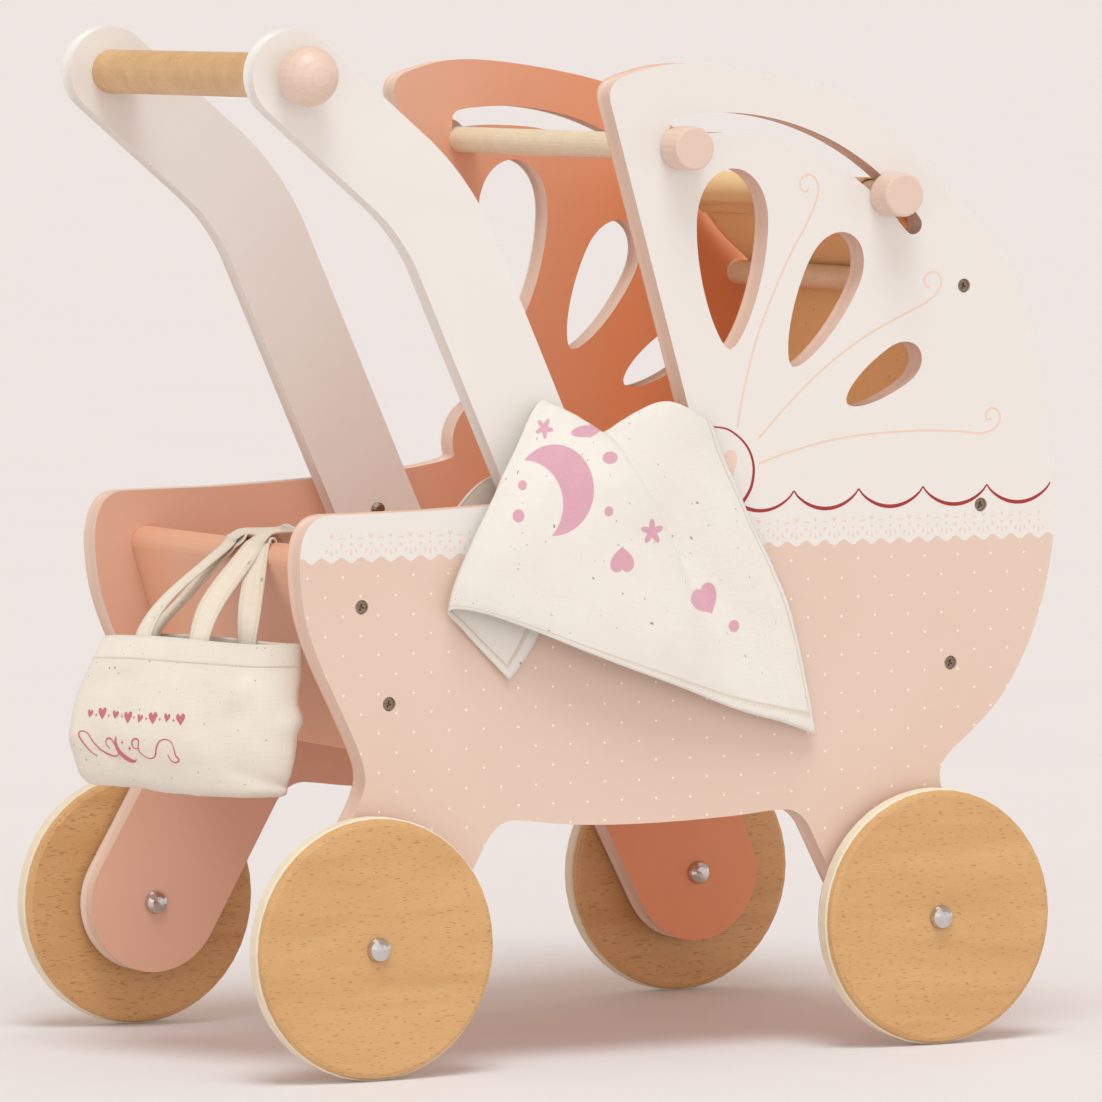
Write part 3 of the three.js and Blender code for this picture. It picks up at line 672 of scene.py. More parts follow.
# ---------------------------------------------------------------- printed lines and lace
def bend(a, b, c, d, t):
    """Catmull-Rom rule between b and c, for numbers or vectors."""
    return 0.5 * (
        2 * b + (c - a) * t + (2 * a - 5 * b + 4 * c - d) * t * t + (3 * b - a - 3 * c + d) * t ** 3
    )


def spans(points, steps):
    """Each step of a curve through the points: the four points about it and the way along."""
    ends = [points[0], *points, points[-1]]
    for four in zip(ends, ends[1:], ends[2:], ends[3:]):
        for i in range(steps):
            yield four, i / steps


def curve(points, steps=6):
    """A smooth curve through 2-D points."""
    out = [tuple(bend(*v, t) for v in zip(*four)) for four, t in spans(points, steps)]
    return [*out, tuple(points[-1])]


def stroke(points, width):
    """Outline of a line along the points; width is a function of the way along, 0 to 1."""
    left, right = [], []
    last = len(points) - 1
    for i, (x, z) in enumerate(points):
        a, b = points[max(i - 1, 0)], points[min(i + 1, last)]
        length = math.hypot(b[0] - a[0], b[1] - a[1]) or 1
        nx, nz = (a[1] - b[1]) / length, (b[0] - a[0]) / length
        half = width(i / last) / 2
        left.append((x + nx * half, z + nz * half))
        right.append((x - nx * half, z - nz * half))
    return left + right[::-1]


def printed(name, side, shapes, finish, slot, proud=0.05):
    """Ink shapes on the outer face of a side panel, each a thin closed slab."""
    y0 = SIDES[side] * (FACE + 0.005)
    y1 = SIDES[side] * (FACE + proud)
    points, faces = [], []
    for shape in shapes:
        n, base = len(shape), len(points)
        points += [mm(x, y0, z) for x, z in shape] + [mm(x, y1, z) for x, z in shape]
        faces += [tuple(range(base, base + n)), tuple(range(base + 2 * n - 1, base + n - 1, -1))]
        faces += [(base + i, base + n + i, base + n + (i + 1) % n, base + (i + 1) % n) for i in range(n)]
    o = new_piece(name, points, faces, finish, smooth=False)
    face_outwards(o)
    settle(o, "frame", slot)
    return o


def ink(name, colour, other):
    f = Finish(name, 0.5)
    f.colour(f.mix(colour, other, f.noise(f.place(), 160, 3).above(0.5, 0.6) * 0.6))
    return f


def disc(x, z, rx, rz, lean=0.0, sides=9):
    c, s = math.cos(lean), math.sin(lean)
    turn = [(rx * math.cos(a), rz * math.sin(a)) for a in (2 * math.pi * i / sides for i in range(sides))]
    return [(x + u * c - v * s, z + u * s + v * c) for u, v in turn]


def lace_shapes():
    """Holes of the lace: a heart or a star, a dot and a fan of drops at each step, an arc between."""
    shapes = []
    first, last = -23, 16
    for k in range(first, last):
        x = LACE_X + k * LACE_STEP
        if not LACE_FROM < x < LACE_TO:
            continue
        if k % 2 == 0:
            shapes.append([(x + u, 287.8 + v) for u, v in (
                (0, -1.4), (-1.5, 0.5), (-1.25, 1.2), (-0.5, 1.15),
                (0, 0.35), (0.5, 1.15), (1.25, 1.2), (1.5, 0.5),
            )])
        else:
            shapes.append([(x + u, 287.9 + v) for u, v in ((0, -1.5), (-0.75, 0), (0, 1.5), (0.75, 0))])
        shapes.append(disc(x, 283.6, 0.75, 0.75))
        shapes.append([(x + u, 279.1 + v) for u, v in (
            (0, -1.8), (-0.6, -1.2), (-0.55, -0.2), (0, 1.9), (0.55, -0.2), (0.6, -1.2),
        )])
        for hand in (-1, 1):
            shapes.append(disc(x + hand * 2.9, 279.9, 0.6, 1.4, hand * 0.45))
        middle = x + LACE_STEP / 2
        if middle > LACE_TO:
            continue
        arc = [(middle + u, 286.0 + 0.9 * math.cos(u * 0.62)) for u in (-2.2, -1.1, 0, 1.1, 2.2)]
        shapes.append(stroke(arc, lambda t: 0.25 + 0.5 * math.sin(math.pi * t)))
        shapes.append(disc(middle, 288.9, 0.4, 0.4, sides=6))
        shapes.append([(middle - 1, 283.4), (middle, 281.1), (middle + 1, 283.4), (middle, 283.8)])
    return shapes


CURL = [(41, 340), (50, 338.4), (58.4, 332.8), (63.8, 325.6),
        (66, 317), (64.8, 308), (61.8, 302.2), (58.6, 298.2)]
CUSPS = [50.6, 90.8, 131, 171.2, 211.4, 251.6]
SWIRLS = [
    [(56, 339), (59.4, 357), (67.6, 386), (76.4, 407), (87.6, 430), (98, 447), (104.8, 461), (106, 468.6),
     (103, 474), (98.4, 474.6), (95, 471.4), (95.4, 467.2), (98.4, 465.6), (100, 467.8)],
    [(69, 333), (90, 353.6), (113, 372.6), (136, 387.2), (158, 397.6), (173, 404.4), (181, 410.8),
     (182.6, 416.6), (179, 420.8), (174.2, 420), (172, 416.4), (173.4, 412.8), (176.4, 413.2)],
    [(69, 319.4), (91, 326), (123, 332.2), (162, 334.6), (191, 333.8), (208, 332.2), (216.6, 334.8),
     (219.8, 340), (218, 344.6), (214, 345.8), (210.8, 342.8), (211.8, 339.6), (214.4, 340)],
]
DROP = [(47.4, 324.4), (49.6, 326.8), (52.6, 327), (55.4, 324.6), (55.6, 320.6), (53.2, 313.6), (50.8, 318)]


def scallop(a, b, deep=10.2):
    """A hanging arc between two cusps."""
    ways = [i / 20 for i in range(21)]
    return [(a + (b - a) * t, 304 - deep * (1 - (2 * t - 1) ** 2) ** 0.8) for t in ways]


red_ink = ink("red_ink", RED, linear(176, 52, 50))
swirl_ink = ink("swirl_ink", SWIRL, linear(236, 204, 184))
hole_ink = ink("lace_hole_ink", linear(238, 214, 200), linear(234, 206, 190))
for side in SIDES:
    garland = [stroke(curve(CURL), lambda t: 0.8 + 1.2 * t)]
    for a, b in zip(CUSPS, CUSPS[1:]):
        line = scallop(a, b)
        if a == CUSPS[0]:  # the first arc starts where the curl meets it
            line = [p for p in line if p[0] > 58.8]
            garland.append(stroke(line, lambda t: 2.0 - 1.1 * t * t))
        else:
            garland.append(stroke(line, lambda t: 0.8 + 1.25 * math.sin(math.pi * t) ** 0.8))
    printed(f"garland_{side}", side, garland, red_ink, "white_paint", 0.06)
    swirls = [stroke(curve(s), lambda t: 1.15 - 0.25 * t) for s in SWIRLS]
    swirls.append(curve(DROP))
    printed(f"swirls_{side}", side, swirls, swirl_ink, "white_paint", 0.04)
    printed(f"lace_{side}", side, lace_shapes(), hole_ink, "white_paint", 0.03)


# ---------------------------------------------------------------- cloth
def through(points, steps):
    """A smooth curve through vectors, with so many steps to a span."""
    return [*(bend(*four, t) for four, t in spans(points, steps)), points[-1].copy()]


def fill_grid(rows, steps_along, steps_down):
    """A fine grid through coarse rows of (x, y, z) in drawing mm."""
    fine = [through([Vector(p) for p in row], steps_along) for row in rows]
    columns = [through(list(column), steps_down) for column in zip(*fine)]
    return [list(row) for row in zip(*columns)]


def normals(grid, ring=False):
    """The unit normal of a grid at each point."""
    out = []
    height, width = len(grid), len(grid[0])
    for j in range(height):
        row = []
        for i in range(width):
            left = grid[j][i - 1 if i or ring else 0]
            right = grid[j][(i + 1) % width if ring else min(i + 1, width - 1)]
            along = right - left
            down = grid[min(j + 1, height - 1)][i] - grid[max(j - 1, 0)][i]
            row.append(down.cross(along).normalized())
        out.append(row)
    return out


def ruffled(grid, amount, ring=False):
    """The grid with every point moved along its normal by amount(point, s, t)."""
    facing = normals(grid, ring)
    height, width = len(grid), len(grid[0])
    return [
        [p + facing[j][i] * amount(p, i / width, j / (height - 1)) for i, p in enumerate(row)]
        for j, row in enumerate(grid)
    ]


def flat_size(grid):
    """The longest way across and down a grid, in metres."""
    def span(line):
        return sum((a - b).length for a, b in zip(line, line[1:]))

    return max(span(row) for row in grid) / 1000, max(span(column) for column in zip(*grid)) / 1000


def cloth(name, grid, thick, finish, ring=False, edge=0.0):
    """A closed shell of cloth around a grid, with its flat size as a UV map in metres."""
    facing = normals(grid, ring)
    height, width = len(grid), len(grid[0])
    points = []
    for hand in (1, -1):
        for j, row in enumerate(grid):
            for i, p in enumerate(row):
                near = edge and (j in (0, height - 1) or (not ring and i in (0, width - 1)))
                half = thick / 2 * (1 - edge if near else 1)
                points.append(mm(*(p + facing[j][i] * (half * hand))))
    columns = width if ring else width - 1
    faces, back = [], width * height
    for j in range(height - 1):
        for i in range(columns):
            a, b = j * width + i, j * width + (i + 1) % width
            c, d = b + width, a + width
            faces.append((a, b, c, d))
            faces.append((back + d, back + c, back + b, back + a))

    def rim(a, b):
        faces.append((a, back + a, back + b, b))

    foot = (height - 1) * width
    for i in range(columns):
        rim(i, (i + 1) % width)
        rim(foot + (i + 1) % width, foot + i)
    if not ring:
        for j in range(height - 1):
            rim((j + 1) * width, j * width)
            rim((j + 1) * width - 1, (j + 2) * width - 1)
    o = new_piece(name, points, faces, finish)
    face_outwards(o)

    wide, tall = flat_size(grid)
    layer = o.data.uv_layers.new(name="cloth")
    for polygon in o.data.polygons:
        across = [o.data.loops[k].vertex_index % width for k in polygon.loop_indices]
        seam = ring and max(across) - min(across) > width / 2
        for k, i in zip(polygon.loop_indices, across):
            j = o.data.loops[k].vertex_index % back // width
            s = 1.0 if seam and i == 0 else i / (width if ring else width - 1)
            layer.data[k].uv = (s * wide, j / (height - 1) * tall)
    return o


def rumple(p, scale, seed=0.0):
    return mathutils.noise.noise(p / scale + Vector((seed, seed, seed)))


def ridge(p, a, b, width):
    """1 on the line from a to b, falling off to the sides."""
    a, b = Vector(a), Vector(b)
    t = max(0.0, min(1.0, (p - a).dot(b - a) / (b - a).length_squared))
    return math.exp(-((p - a - (b - a) * t).length / width) ** 2)


def stitching(f, line, run, at, pitch=0.0028, gauge=0.00033):
    """A row of stitches: line is the distance from an edge, run the distance along it."""
    dash = (run * (2 * math.pi / pitch)).calc("SINE").above(-0.35, 0.3)
    return ((line - at).abs() * -1).above(-gauge, gauge * 0.8) * dash


def fold(line, at, width=0.0007):
    return ((line - at).abs() * -1).above(-width, width)


# the small blanket over the near rail
def blanket_hem(f, u, v, tone, height):
    wide, tall = flat_size(blanket_grid)
    edge = (u.low(u * -1 + wide)).low(v.low(v * -1 + tall))
    threads = stitching(f, edge, u + v, 0.0056)
    groove = fold(edge, 0.0066)
    # painted shade: the hem's fold line is darkened as if in shade, on top of its bump; the stitches are
    # darker thread
    tone = f.mix(tone, linear(206, 186, 160), groove * 0.5 + threads * 0.25)
    return tone, height - groove * 0.8 + threads * 0.6 + (-edge).above(-0.0066, 0.0004) * 0.7


def heart(x, z, cx, cz, wide, tall, turn=0.0):
    c, s = math.cos(math.radians(turn)), math.sin(math.radians(turn))
    u = ((x - cx) * c + (z - cz) * s) / wide
    v = ((z - cz) * c - (x - cx) * s) / tall
    lobe = u.abs().calc("POWER", 0.5) * 0.62
    return (hypot(u, v - lobe) * -1).above(-1, 0.08)


def star(x, z, cx, cz, size, turn=90):
    angle = (z - cz).calc("ARCTAN2", x - cx) * 5 + math.radians(-5 * turn)
    reach = angle.calc("COSINE") * (0.27 * size) + 0.73 * size
    return (reach - hypot(x - cx, z - cz)).above(0, 0.35)


def blanket_prints(f, u, v, tone, threads):
    x, y, z = f.drawing()
    x = x + (y - 148) * 0.52
    outside = y.above(124, 0.5)

    def dot(cx, cz, r, flat=1.0):
        return (hypot(x - cx, (z - cz) / flat) * -1).above(-r, 0.3)

    marks = dot(-61.5, 309.5, 24) * (dot(-79.5, 302, 23.4) * -1 + 1)  # a crescent moon
    for mark in (
        heart(x, z, -20.6, 273, 7.2, 6.2, 180), heart(x, z, 31, 246, 8, 7.4, 28),
        heart(x, z, -40, 339.4, 11, 3.2, 12), star(x, z, -2.5, 285.8, 7), star(x, z, -67.3, 342, 5.5, 60),
        dot(-80.4, 312.5, 2.6), dot(-82.8, 296.5, 3.5), dot(-28.6, 297.6, 2.7),
        dot(-27.7, 325.8, 4.6, 0.7), dot(47.5, 232.8, 3.3),
    ):
        marks = marks.high(mark)
    patchy = f.noise(f.place(), 900, 2).above(0.3, 0.3)
    return f.mix(tone, PINK, marks * outside * (patchy * 0.25 + 0.7))


BLANKET = [
    [(-116, -103, 268), (-104, -102, 262), (-91, -101, 258), (-77, -101.5, 255), (-62, -102, 253),
     (-46, -101.5, 252), (-30, -102, 252), (-14, -101.5, 253), (2, -102, 256), (15, -103, 262)],
    [(-99, -104, 297), (-90, -103, 290), (-79, -102, 285), (-67, -102, 282), (-54, -103, 279),
     (-41, -102, 278), (-28, -103, 277), (-15, -102, 278), (-1, -103, 279), (12, -104, 282)],
    [(-72, -105, 316), (-56, -104.5, 319), (-50, -104, 317), (-43, -104, 314), (-35, -104, 311),
     (-26, -104, 308), (-17, -104, 306), (-8, -104, 305), (1, -104, 304), (10, -105, 305)],
    [(-19, -106.2, 306), (-18, -106.6, 308), (-16, -106.2, 310), (-13, -106.6, 309), (-10, -106.2, 308),
     (-7, -106.6, 308), (-4, -106.2, 307), (0, -106.6, 308), (6, -106.2, 307), (12, -106.6, 308)],
    [(-16, -114, 311), (-15, -116, 314), (-13, -114, 316), (-11, -116, 315), (-8, -114, 313),
     (-5, -116, 314), (-2, -114, 313), (2, -116, 315), (7, -114, 315), (13, -117, 318)],
    [(-18, -122.8, 318), (-17, -123, 322), (-16, -123, 325), (-14, -123, 324), (-11, -122.8, 322),
     (-8, -122.8, 321), (-5, -122.6, 320), (0, -122.4, 320), (8, -125, 326), (15, -128, 327)],
    [(-38, -124, 322), (-42, -123.5, 329), (-44, -123, 336), (-41, -123, 336), (-36, -122.8, 333),
     (-30, -122.5, 328), (-25, -122, 323), (-17, -120, 322), (0, -124, 338), (17, -133, 334)],
    [(-48, -126, 334), (-52, -124.5, 347), (-58, -127, 356), (-52, -131, 353), (-42, -134, 348),
     (-32, -136, 342.5), (-25, -137, 338), (-18, -131, 340), (12, -139, 354), (36, -139.5, 343)],
    [(-54, -138.5, 306), (-70, -138, 312), (-81, -137, 326), (-76, -143, 323), (-58, -149, 320),
     (-32, -152, 316), (-11, -152, 313), (-5, -141, 314), (24, -143, 320), (45, -140, 325)],
    [(-50, -139, 278), (-92, -139, 289), (-103, -143, 291), (-97, -148, 288), (-72, -153, 283),
     (-30, -155, 277), (8, -153, 273), (16, -142, 276), (44, -146, 283), (62, -140, 289)],
    [(-66, -139, 233), (-108, -139, 262), (-118, -144, 262), (-111, -149, 260), (-76, -153, 251),
     (-28, -156, 239), (16, -155, 228), (42, -147, 228), (66, -146, 230), (87, -140, 238)],
    [(-84, -139, 208), (-112, -140, 236), (-123, -145, 247), (-106, -150, 245.5), (-76, -153, 235),
     (-36, -155, 219), (8, -154, 203), (50, -149, 187.5), (80, -147, 179), (102, -141, 171)],
]
blanket_grid = fill_grid(BLANKET, 11, 11)
blanket_grid = ruffled(blanket_grid, lambda p, s, t: (
    0.9 * rumple(Vector((s * 190, t * 60, 5)), 14) + 0.5 * rumple(p, 17, 9) + 0.25 * rumple(p, 6, 4)
) if t > 0.62 else 0.35 * rumple(p, 12))
blanket_cotton = calico(
    "blanket_cotton", linear(244, 240, 233), linear(236, 226, 212), blanket_prints, blanket_hem
)
blanket = cloth("draped_blanket", blanket_grid, 0.9, blanket_cotton, edge=0.3)
settle(blanket, "frame", "calico", "blanket")


# the bag that hangs on the rear board
def bag_hem(f, u, v, tone, height):
    rows = stitching(f, v, u, 0.0155) + stitching(f, v, u, 0.0015, gauge=0.0004)
    groove = fold(v, 0.0168, 0.0006)
    # painted shade: the hem's fold line is darkened as if in shade, on top of its bump; the stitch rows are
    # darker thread
    tone = f.mix(tone, linear(214, 198, 174), groove * 0.55 + rows * 0.3)
    return tone, height - groove * 0.8 + rows * 0.6 + (-v).above(-0.0168, 0.0003) * 0.8


def strap_hem(f, u, v, tone, height):
    edge = v.low(v * -1 + 0.013)
    rows = stitching(f, edge, u, 0.0018, 0.0026)
    # painted shade: the fold line along the hem is darkened as if in shade; the stitches are darker thread
    tone = f.mix(tone, linear(210, 192, 166), rows * 0.35 + fold(edge, 0.0028, 0.0005) * 0.3)
    return tone, height + rows * 0.7 - fold(edge, 0.0028, 0.0005) * 0.5


BAG_LEVELS = [  # height, corners (near rear, near front, far front, far rear), swell of the front and back
    (229, (-186.5, -103), (-209.5, -89), (-250, 19), (-230, 33), 0.5),
    (221, (-187, -103), (-211, -89), (-255, 19), (-231, 33), 1.0),
    (213, (-187.5, -103), (-212.5, -89), (-259, 20), (-231, 34), 1.6),
    (200, (-188.6, -103), (-214.5, -89), (-263, 23), (-232, 35), 3.2),
    (187, (-190, -103), (-216, -89), (-266, 25), (-232, 35), 4.6),
    (175, (-191, -102.5), (-217.4, -89), (-268, 25), (-232, 35), 5.2),
    (163, (-192, -102), (-217.5, -88), (-266, 24), (-232, 34), 4.6),
    (154, (-193, -101), (-217, -88), (-264, 23), (-231, 33), 3.6),
    (149.4, (-193.6, -100), (-216.6, -87.4), (-261, 22), (-230.6, 32.4), 2.6),
    (147.4, (-196, -96), (-214, -85), (-256, 19), (-231, 28), 1.4),
    (147.4, (-203.6, -87), (-204.6, -86), (-241, 12), (-240, 13), 0.0),
]


def bag_ring(level):
    z, *corners, swell = level
    sides = (7, 30, 8, 30)
    ring = []
    for k, count in enumerate(sides):
        a, b = Vector(corners[k]), Vector(corners[(k + 1) % 4])
        out = Vector((b.y - a.y, a.x - b.x)).normalized() * -1
        for i in range(count):
            t = i / count
            bow = (swell if k % 2 else swell * 0.35) * math.sin(math.pi * t) ** 0.8
            ring.append(a.lerp(b, t) + out * bow)
    for _ in range(2):
        ring = [ring[i - 1] * 0.25 + p * 0.5 + ring[(i + 1) % len(ring)] * 0.25 for i, p in enumerate(ring)]
    top = max(0.0, (z - 205) / 24)
    low = max(0.0, (165 - z) / 18)

    def uneven(y):
        """The level's height at y: the mouth sinks towards the far side, and both ends wave a little."""
        mouth = 2.2 * max(0.0, (y - 2) / 22) ** 2 + 0.5 * math.sin(y / 17)
        return z - top * mouth + low * 0.8 * math.sin(y / 21 + 1)

    return [Vector((p.x, p.y, uneven(p.y))) for p in ring]


def bag_creases(p, s, t):
    deep = 0.9 * rumple(p, 26, 3) + 0.45 * rumple(p, 11, 7) + 0.18 * rumple(p, 5)
    deep += 2.6 * ridge(p, (-216, -76, 164), (-190, -103, 190), 4.2)
    deep -= 1.9 * ridge(p, (-217, -84, 160), (-195, -100, 153), 3.2)
    deep -= 1.3 * ridge(p, (-219, -70, 186), (-230, -48, 168), 5)
    deep += 1.4 * ridge(p, (-222, -66, 178), (-214, -86, 205), 5)
    deep -= 1.1 * ridge(p, (-262, 8, 204), (-250, -20, 212), 5)
    fade = min(1.0, t * 6) * min(1.0, (1 - t) * 5)
    return -1.5 * deep * fade


levels = [bag_ring(level) for level in BAG_LEVELS]
bag_grid = [list(row) for row in zip(*(through(list(column), 4) for column in zip(*levels)))]
bag_grid = ruffled(bag_grid, bag_creases, True)
bag_cotton = calico("bag_cotton", linear(243, 236, 224), linear(230, 217, 197), None, bag_hem)
bag = cloth("hanging_bag", bag_grid, 1.1, bag_cotton, ring=True)
settle(bag, "bag", "calico", "tote_bag")

strap_cotton = calico("strap_cotton", linear(240, 231, 216), linear(226, 211, 189), None, strap_hem)


RAIL_X, RAIL_Z, RAIL_R = -175.5, 270.5, 9


def over_rail(angle, y, lift):
    """A point above the rear board's round top, by its angle about the top's centre."""
    r = RAIL_R + lift
    a = math.radians(angle)
    return (RAIL_X + r * math.cos(a), y, RAIL_Z + r * math.sin(a))


def strap(name, path, across, stands_for):
    """A band of cloth along a path, its width laid along the across directions."""
    middle = through([Vector(p) for p in path], 7)
    wide = through([Vector(a) for a in across], 7)
    rows = []
    for shift in (-6.5, -5.4, -2.5, 0, 2.5, 5.4, 6.5):
        row = []
        for i, p in enumerate(middle):
            run = (middle[min(i + 1, len(middle) - 1)] - middle[max(i - 1, 0)]).normalized()
            side = wide[i] - run * wide[i].dot(run)
            lift = run.cross(side).normalized() * (0.35 * math.cos(shift * 0.42))
            row.append(p + side.normalized() * shift + lift * rumple(p, 14))
        rows.append(row)
    o = cloth(name, rows, 1.5, strap_cotton, edge=0.35)
    settle(o, "bag", "calico", stands_for)
    return o


outer_strap = strap("outer_strap", [
    (-238.5, -9, 217), (-237.4, -9, 231), (-222, -7, 250), over_rail(165, -8, 6), over_rail(130, -9, 4.6),
    over_rail(95, -12, 4.4), (-162, -18, 281), (-160.4, -25, 281.4), (-162, -32, 280.6),
    over_rail(98, -38, 4.4), over_rail(133, -40, 4.6), over_rail(163, -41, 6), (-213, -44, 249),
    (-222.4, -47, 231), (-223.6, -48, 217),
], [
    (-0.3, 0.95, 0), (-0.2, 0.98, 0), (0, 1, 0), (0, 1, 0), (0, 1, 0), (0, 1, 0.15), (0, 0.7, 0.7),
    (0, 0, 1), (0, -0.7, 0.7), (0.1, -1, 0.15), (0.25, -0.97, 0), (0.55, -0.83, 0), (0.8, -0.6, 0),
    (0.5, -0.87, 0), (0.43, -0.9, 0),
], "bag_strap_outer")
inner_strap = strap("inner_strap", [
    (-224.6, 6, 217), (-223.4, 6, 231), (-206, 3, 250), over_rail(165, -6, 2.6), over_rail(130, -10, 1.7),
    over_rail(95, -12, 1.9), (-163.2, -18, 271), (-162.8, -25, 268), (-163.2, -32, 271),
    over_rail(98, -38, 1.9), over_rail(133, -41, 1.7), over_rail(163, -45, 2.6), (-196, -55, 250),
    (-201.6, -62, 231), (-203, -62.6, 217),
], [
    (-0.1, 1, 0), (0, 1, 0), (0, 1, 0), (0, 1, 0), (0, 1, 0), (0, 1, -0.2), (0, 0.7, -0.7),
    (0, 0, -1), (0, -0.7, -0.7), (0, -1, -0.2), (0.1, -1, 0), (0.35, -0.94, 0), (0.75, -0.66, 0),
    (0.4, -0.92, 0), (0.3, -0.95, 0),
], "bag_strap_inner")


# ink on the bag's front: a scroll, a moon and stars, and a row of hearts
SEAM_X, SEAM_Y = -210, -89  # the near seam of the bag's front
IN_X, IN_Y = 0.905, 0.42  # the level direction into the front
CLEAR = 30


def on_bag(s, z):
    """A point s along the front from the near seam, at height z, well in front of the cloth."""
    return Vector((SEAM_X - IN_Y * s - IN_X * CLEAR, SEAM_Y + IN_X * s - IN_Y * CLEAR, z))


def transfer(name, target, strips, finish, body, slot):
    """Ink laid on a cloth: each strip is two rows of (s, z), joined across."""
    tree = mathutils.bvhtree.BVHTree.FromPolygons(
        [v.co.copy() for v in target.data.vertices], [tuple(p.vertices) for p in target.data.polygons]
    )
    points, faces = [], []
    inward = Vector((IN_X, IN_Y, 0))
    for left, right in strips:
        base = len(points)
        for pair in zip(left, right):
            for s, z in pair:
                start = on_bag(s, z)
                hit = tree.ray_cast(Vector(mm(*start)), inward, 0.08)[0]
                if hit is None:
                    hit = Vector(mm(*(start + inward * CLEAR)))
                points.append(hit - inward * 0.00016)
                points.append(hit + inward * 0.0002)
        n = len(left)
        for i in range(n - 1):
            a = base + 4 * i
            faces += [(a, a + 2, a + 6, a + 4), (a + 1, a + 5, a + 7, a + 3)]
            faces += [(a, a + 4, a + 5, a + 1), (a + 2, a + 3, a + 7, a + 6)]
        a, b = base, base + 4 * (n - 1)
        faces += [(a, a + 1, a + 3, a + 2), (b, b + 2, b + 3, b + 1)]
    o = new_piece(name, points, faces, finish, smooth=False)
    face_outwards(o)
    settle(o, body, slot)
    return o


def strip(points, width):
    """The two edges of a line along the points, for transfer."""
    outline = stroke(points, width)
    n = len(outline) // 2
    return outline[:n], outline[n:][::-1]


def small_heart(s, z, r, lean=0.0):
    half = [(0.0, 0.5), (0.35, 0.95), (0.75, 1.0), (1.0, 0.65),
            (0.95, 0.2), (0.6, -0.35), (0.25, -0.8), (0.0, -1.1)]
    c, w = math.cos(lean), math.sin(lean)

    def turned(u, v):
        return (s + r * (u * c - v * w), z + r * (u * w + v * c))

    return [([turned(0, v) for v in (0.5, 0.35, 0.1, -0.1, -0.3, -0.5, -0.8, -1.1)],
             [turned(u * hand, v) for u, v in half]) for hand in (1, -1)]


def small_star(s, z, r):
    """The right and left edges of a four-pointed star."""
    waist = r * 0.3
    return tuple([
        (s, z + r), (s + hand * waist, z + waist), (s + hand * r, z),
        (s + hand * waist, z - waist), (s, z - r),
    ] for hand in (1, -1))


SCROLLS = [
    [(105, 164.4), (110, 167), (115, 172), (117.6, 175.6), (115.6, 177.4), (111, 176.4), (107, 172),
     (101, 167.6), (93.6, 165.2), (89.4, 165.4), (88.2, 167.4), (90.6, 171.4), (93.4, 174.4),
     (96.6, 174), (97.4, 171.4), (94.8, 169)],
    [(71.4, 170.6), (75.4, 170.4), (77, 173.4), (74.8, 175.4), (71.6, 174.6), (72.4, 169.4), (68, 166),
     (63.6, 165.4), (60.8, 167.2), (59.6, 171), (57.4, 174.8), (53.4, 176.2), (49.6, 175),
     (47.6, 171.6), (46.6, 168), (44.4, 165.8), (46, 164.2), (49.4, 164.6), (52, 168)],
]
MOON = [(89, 176), (89.6, 172), (87.4, 168), (82.6, 164.6), (77.4, 163), (74.8, 164.4)]
HEART_STEP = 9.4


def moon_width(t):
    return 0.3 + 2.6 * math.sin(math.pi * min(1.0, t * 1.08)) ** 0.7 if t < 0.98 else 0.4


marks = [strip(curve(line, 4), lambda t: 0.55 + 0.45 * math.sin(3 * math.pi * t) ** 2) for line in SCROLLS]
marks.append(strip(curve(MOON, 5), moon_width))
marks += [small_star(84.2, 173, 1.25), small_star(79, 170, 1.35)]
for i in range(8):
    size = 3.0 if i % 2 else 2.1
    marks += small_heart(110 - HEART_STEP * i, 187 + 0.7 * math.sin(i * 1.3), size, 0.12 * (-1) ** i)
marks += [small_star(105.3 - HEART_STEP * i, 186.6, 0.9) for i in range(7)]
bag_ink = ink("bag_ink", linear(198, 108, 122), linear(206, 124, 136))
transfer("bag_print", bag, marks, bag_ink, "bag", "calico")

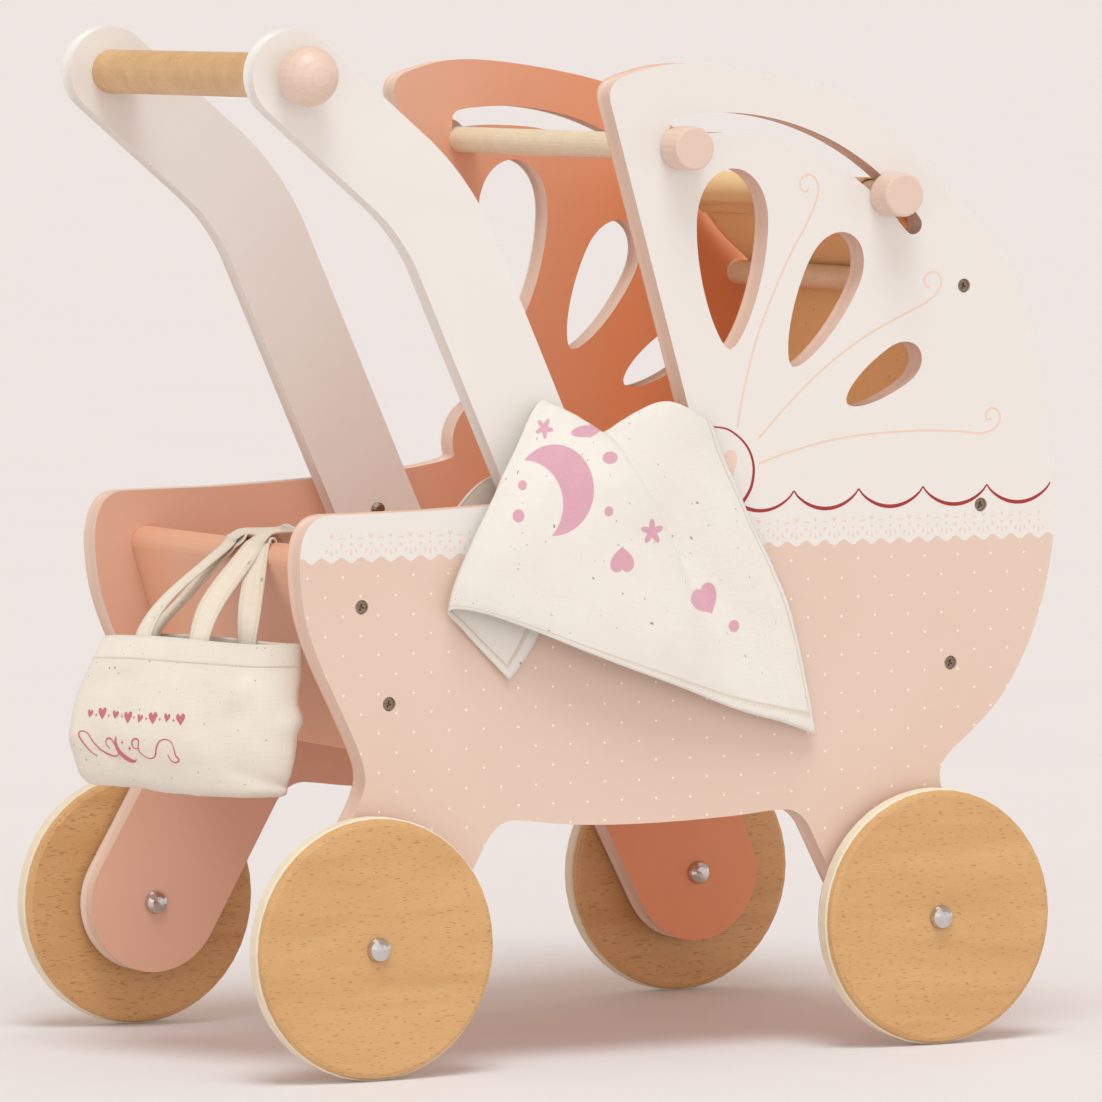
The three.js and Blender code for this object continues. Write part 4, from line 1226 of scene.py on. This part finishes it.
# the hood cloth, cased on the front bow and carried down inside the front board
BAR, DOWEL = Vector((149.3, 0, 463.5)), Vector((197, 0, 413))
CASING_R = 8.3  # the cloth's middle around the bar
HALF_HOOD = 116.5
RUN = (DOWEL - BAR).normalized()
UP = Vector((-RUN.z, 0, RUN.x))
profile = [BAR + RUN * 27 + UP * 5.6, BAR + RUN * 20 + UP * 5.4, BAR + RUN * 13 + UP * 2.2]
for angle in range(150, 361, 30):  # round the bar
    a = math.radians(angle)
    profile.append(BAR + UP * (CASING_R * math.cos(a)) + RUN * (CASING_R * math.sin(a)))
profile += [BAR + RUN * 10 + UP * 8.2, BAR + RUN * 19 + UP * 7.5]
profile += [BAR + RUN * 28 + UP * 7.2, BAR + RUN * 45 + UP * 6.2]
profile += [DOWEL + Vector((5.6, 0, 6.4)), DOWEL + Vector((8.3, 0, 1.2))]
profile += [Vector((x, 0, z)) for x, z in ((206.7, 400), (206, 382), (205, 361), (199.4, 333), (193.2, 306))]
across = [HALF_HOOD * (1 - 2 * i / 60) for i in range(61)]
hood_grid = [[Vector((p.x, y, p.z)) for y in across] for p in through(profile, 4)]


def hood_sag(p, s, t):
    def loose_from(start, length):
        return math.sin(math.pi * max(0.0, min(1.0, (t - start) / length)))

    loose = loose_from(0.42, 0.25) + loose_from(0.72, 0.2)
    return loose * (0.5 * rumple(Vector((p.x * 0.4, p.y * 1.6, p.z * 0.4)), 20, 2) + 0.2 * rumple(p, 8))


def hood_hem(f, u, v, tone, height):
    rows = stitching(f, v, u, 0.055) + stitching(f, v, u, 0.0525)
    edge = u.low(u * -1 + 0.233)
    rows = rows + stitching(f, edge, v, 0.004)
    # the stitches are darker thread, tinted with the same painted ochre glow as the cloth
    tone = f.mix(tone, linear(196, 156, 106), rows * 0.4)
    return tone, height + rows * 0.6


# painted light: the hood is plain calico, coloured ochre to stand in for warm light bounced from the peach
# inside and shining through the cloth
hood_cotton_painted_glow = calico("hood_cotton_painted_glow", linear(252, 218, 156), linear(242, 202, 136), None, hood_hem)
hood = cloth("hood_cloth", ruffled(hood_grid, hood_sag), 1.0, hood_cotton_painted_glow, edge=0.2)
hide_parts("canopy", "canopy_sleeve")
mm(*DOWEL)
mm(*BAR)
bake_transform(hood)
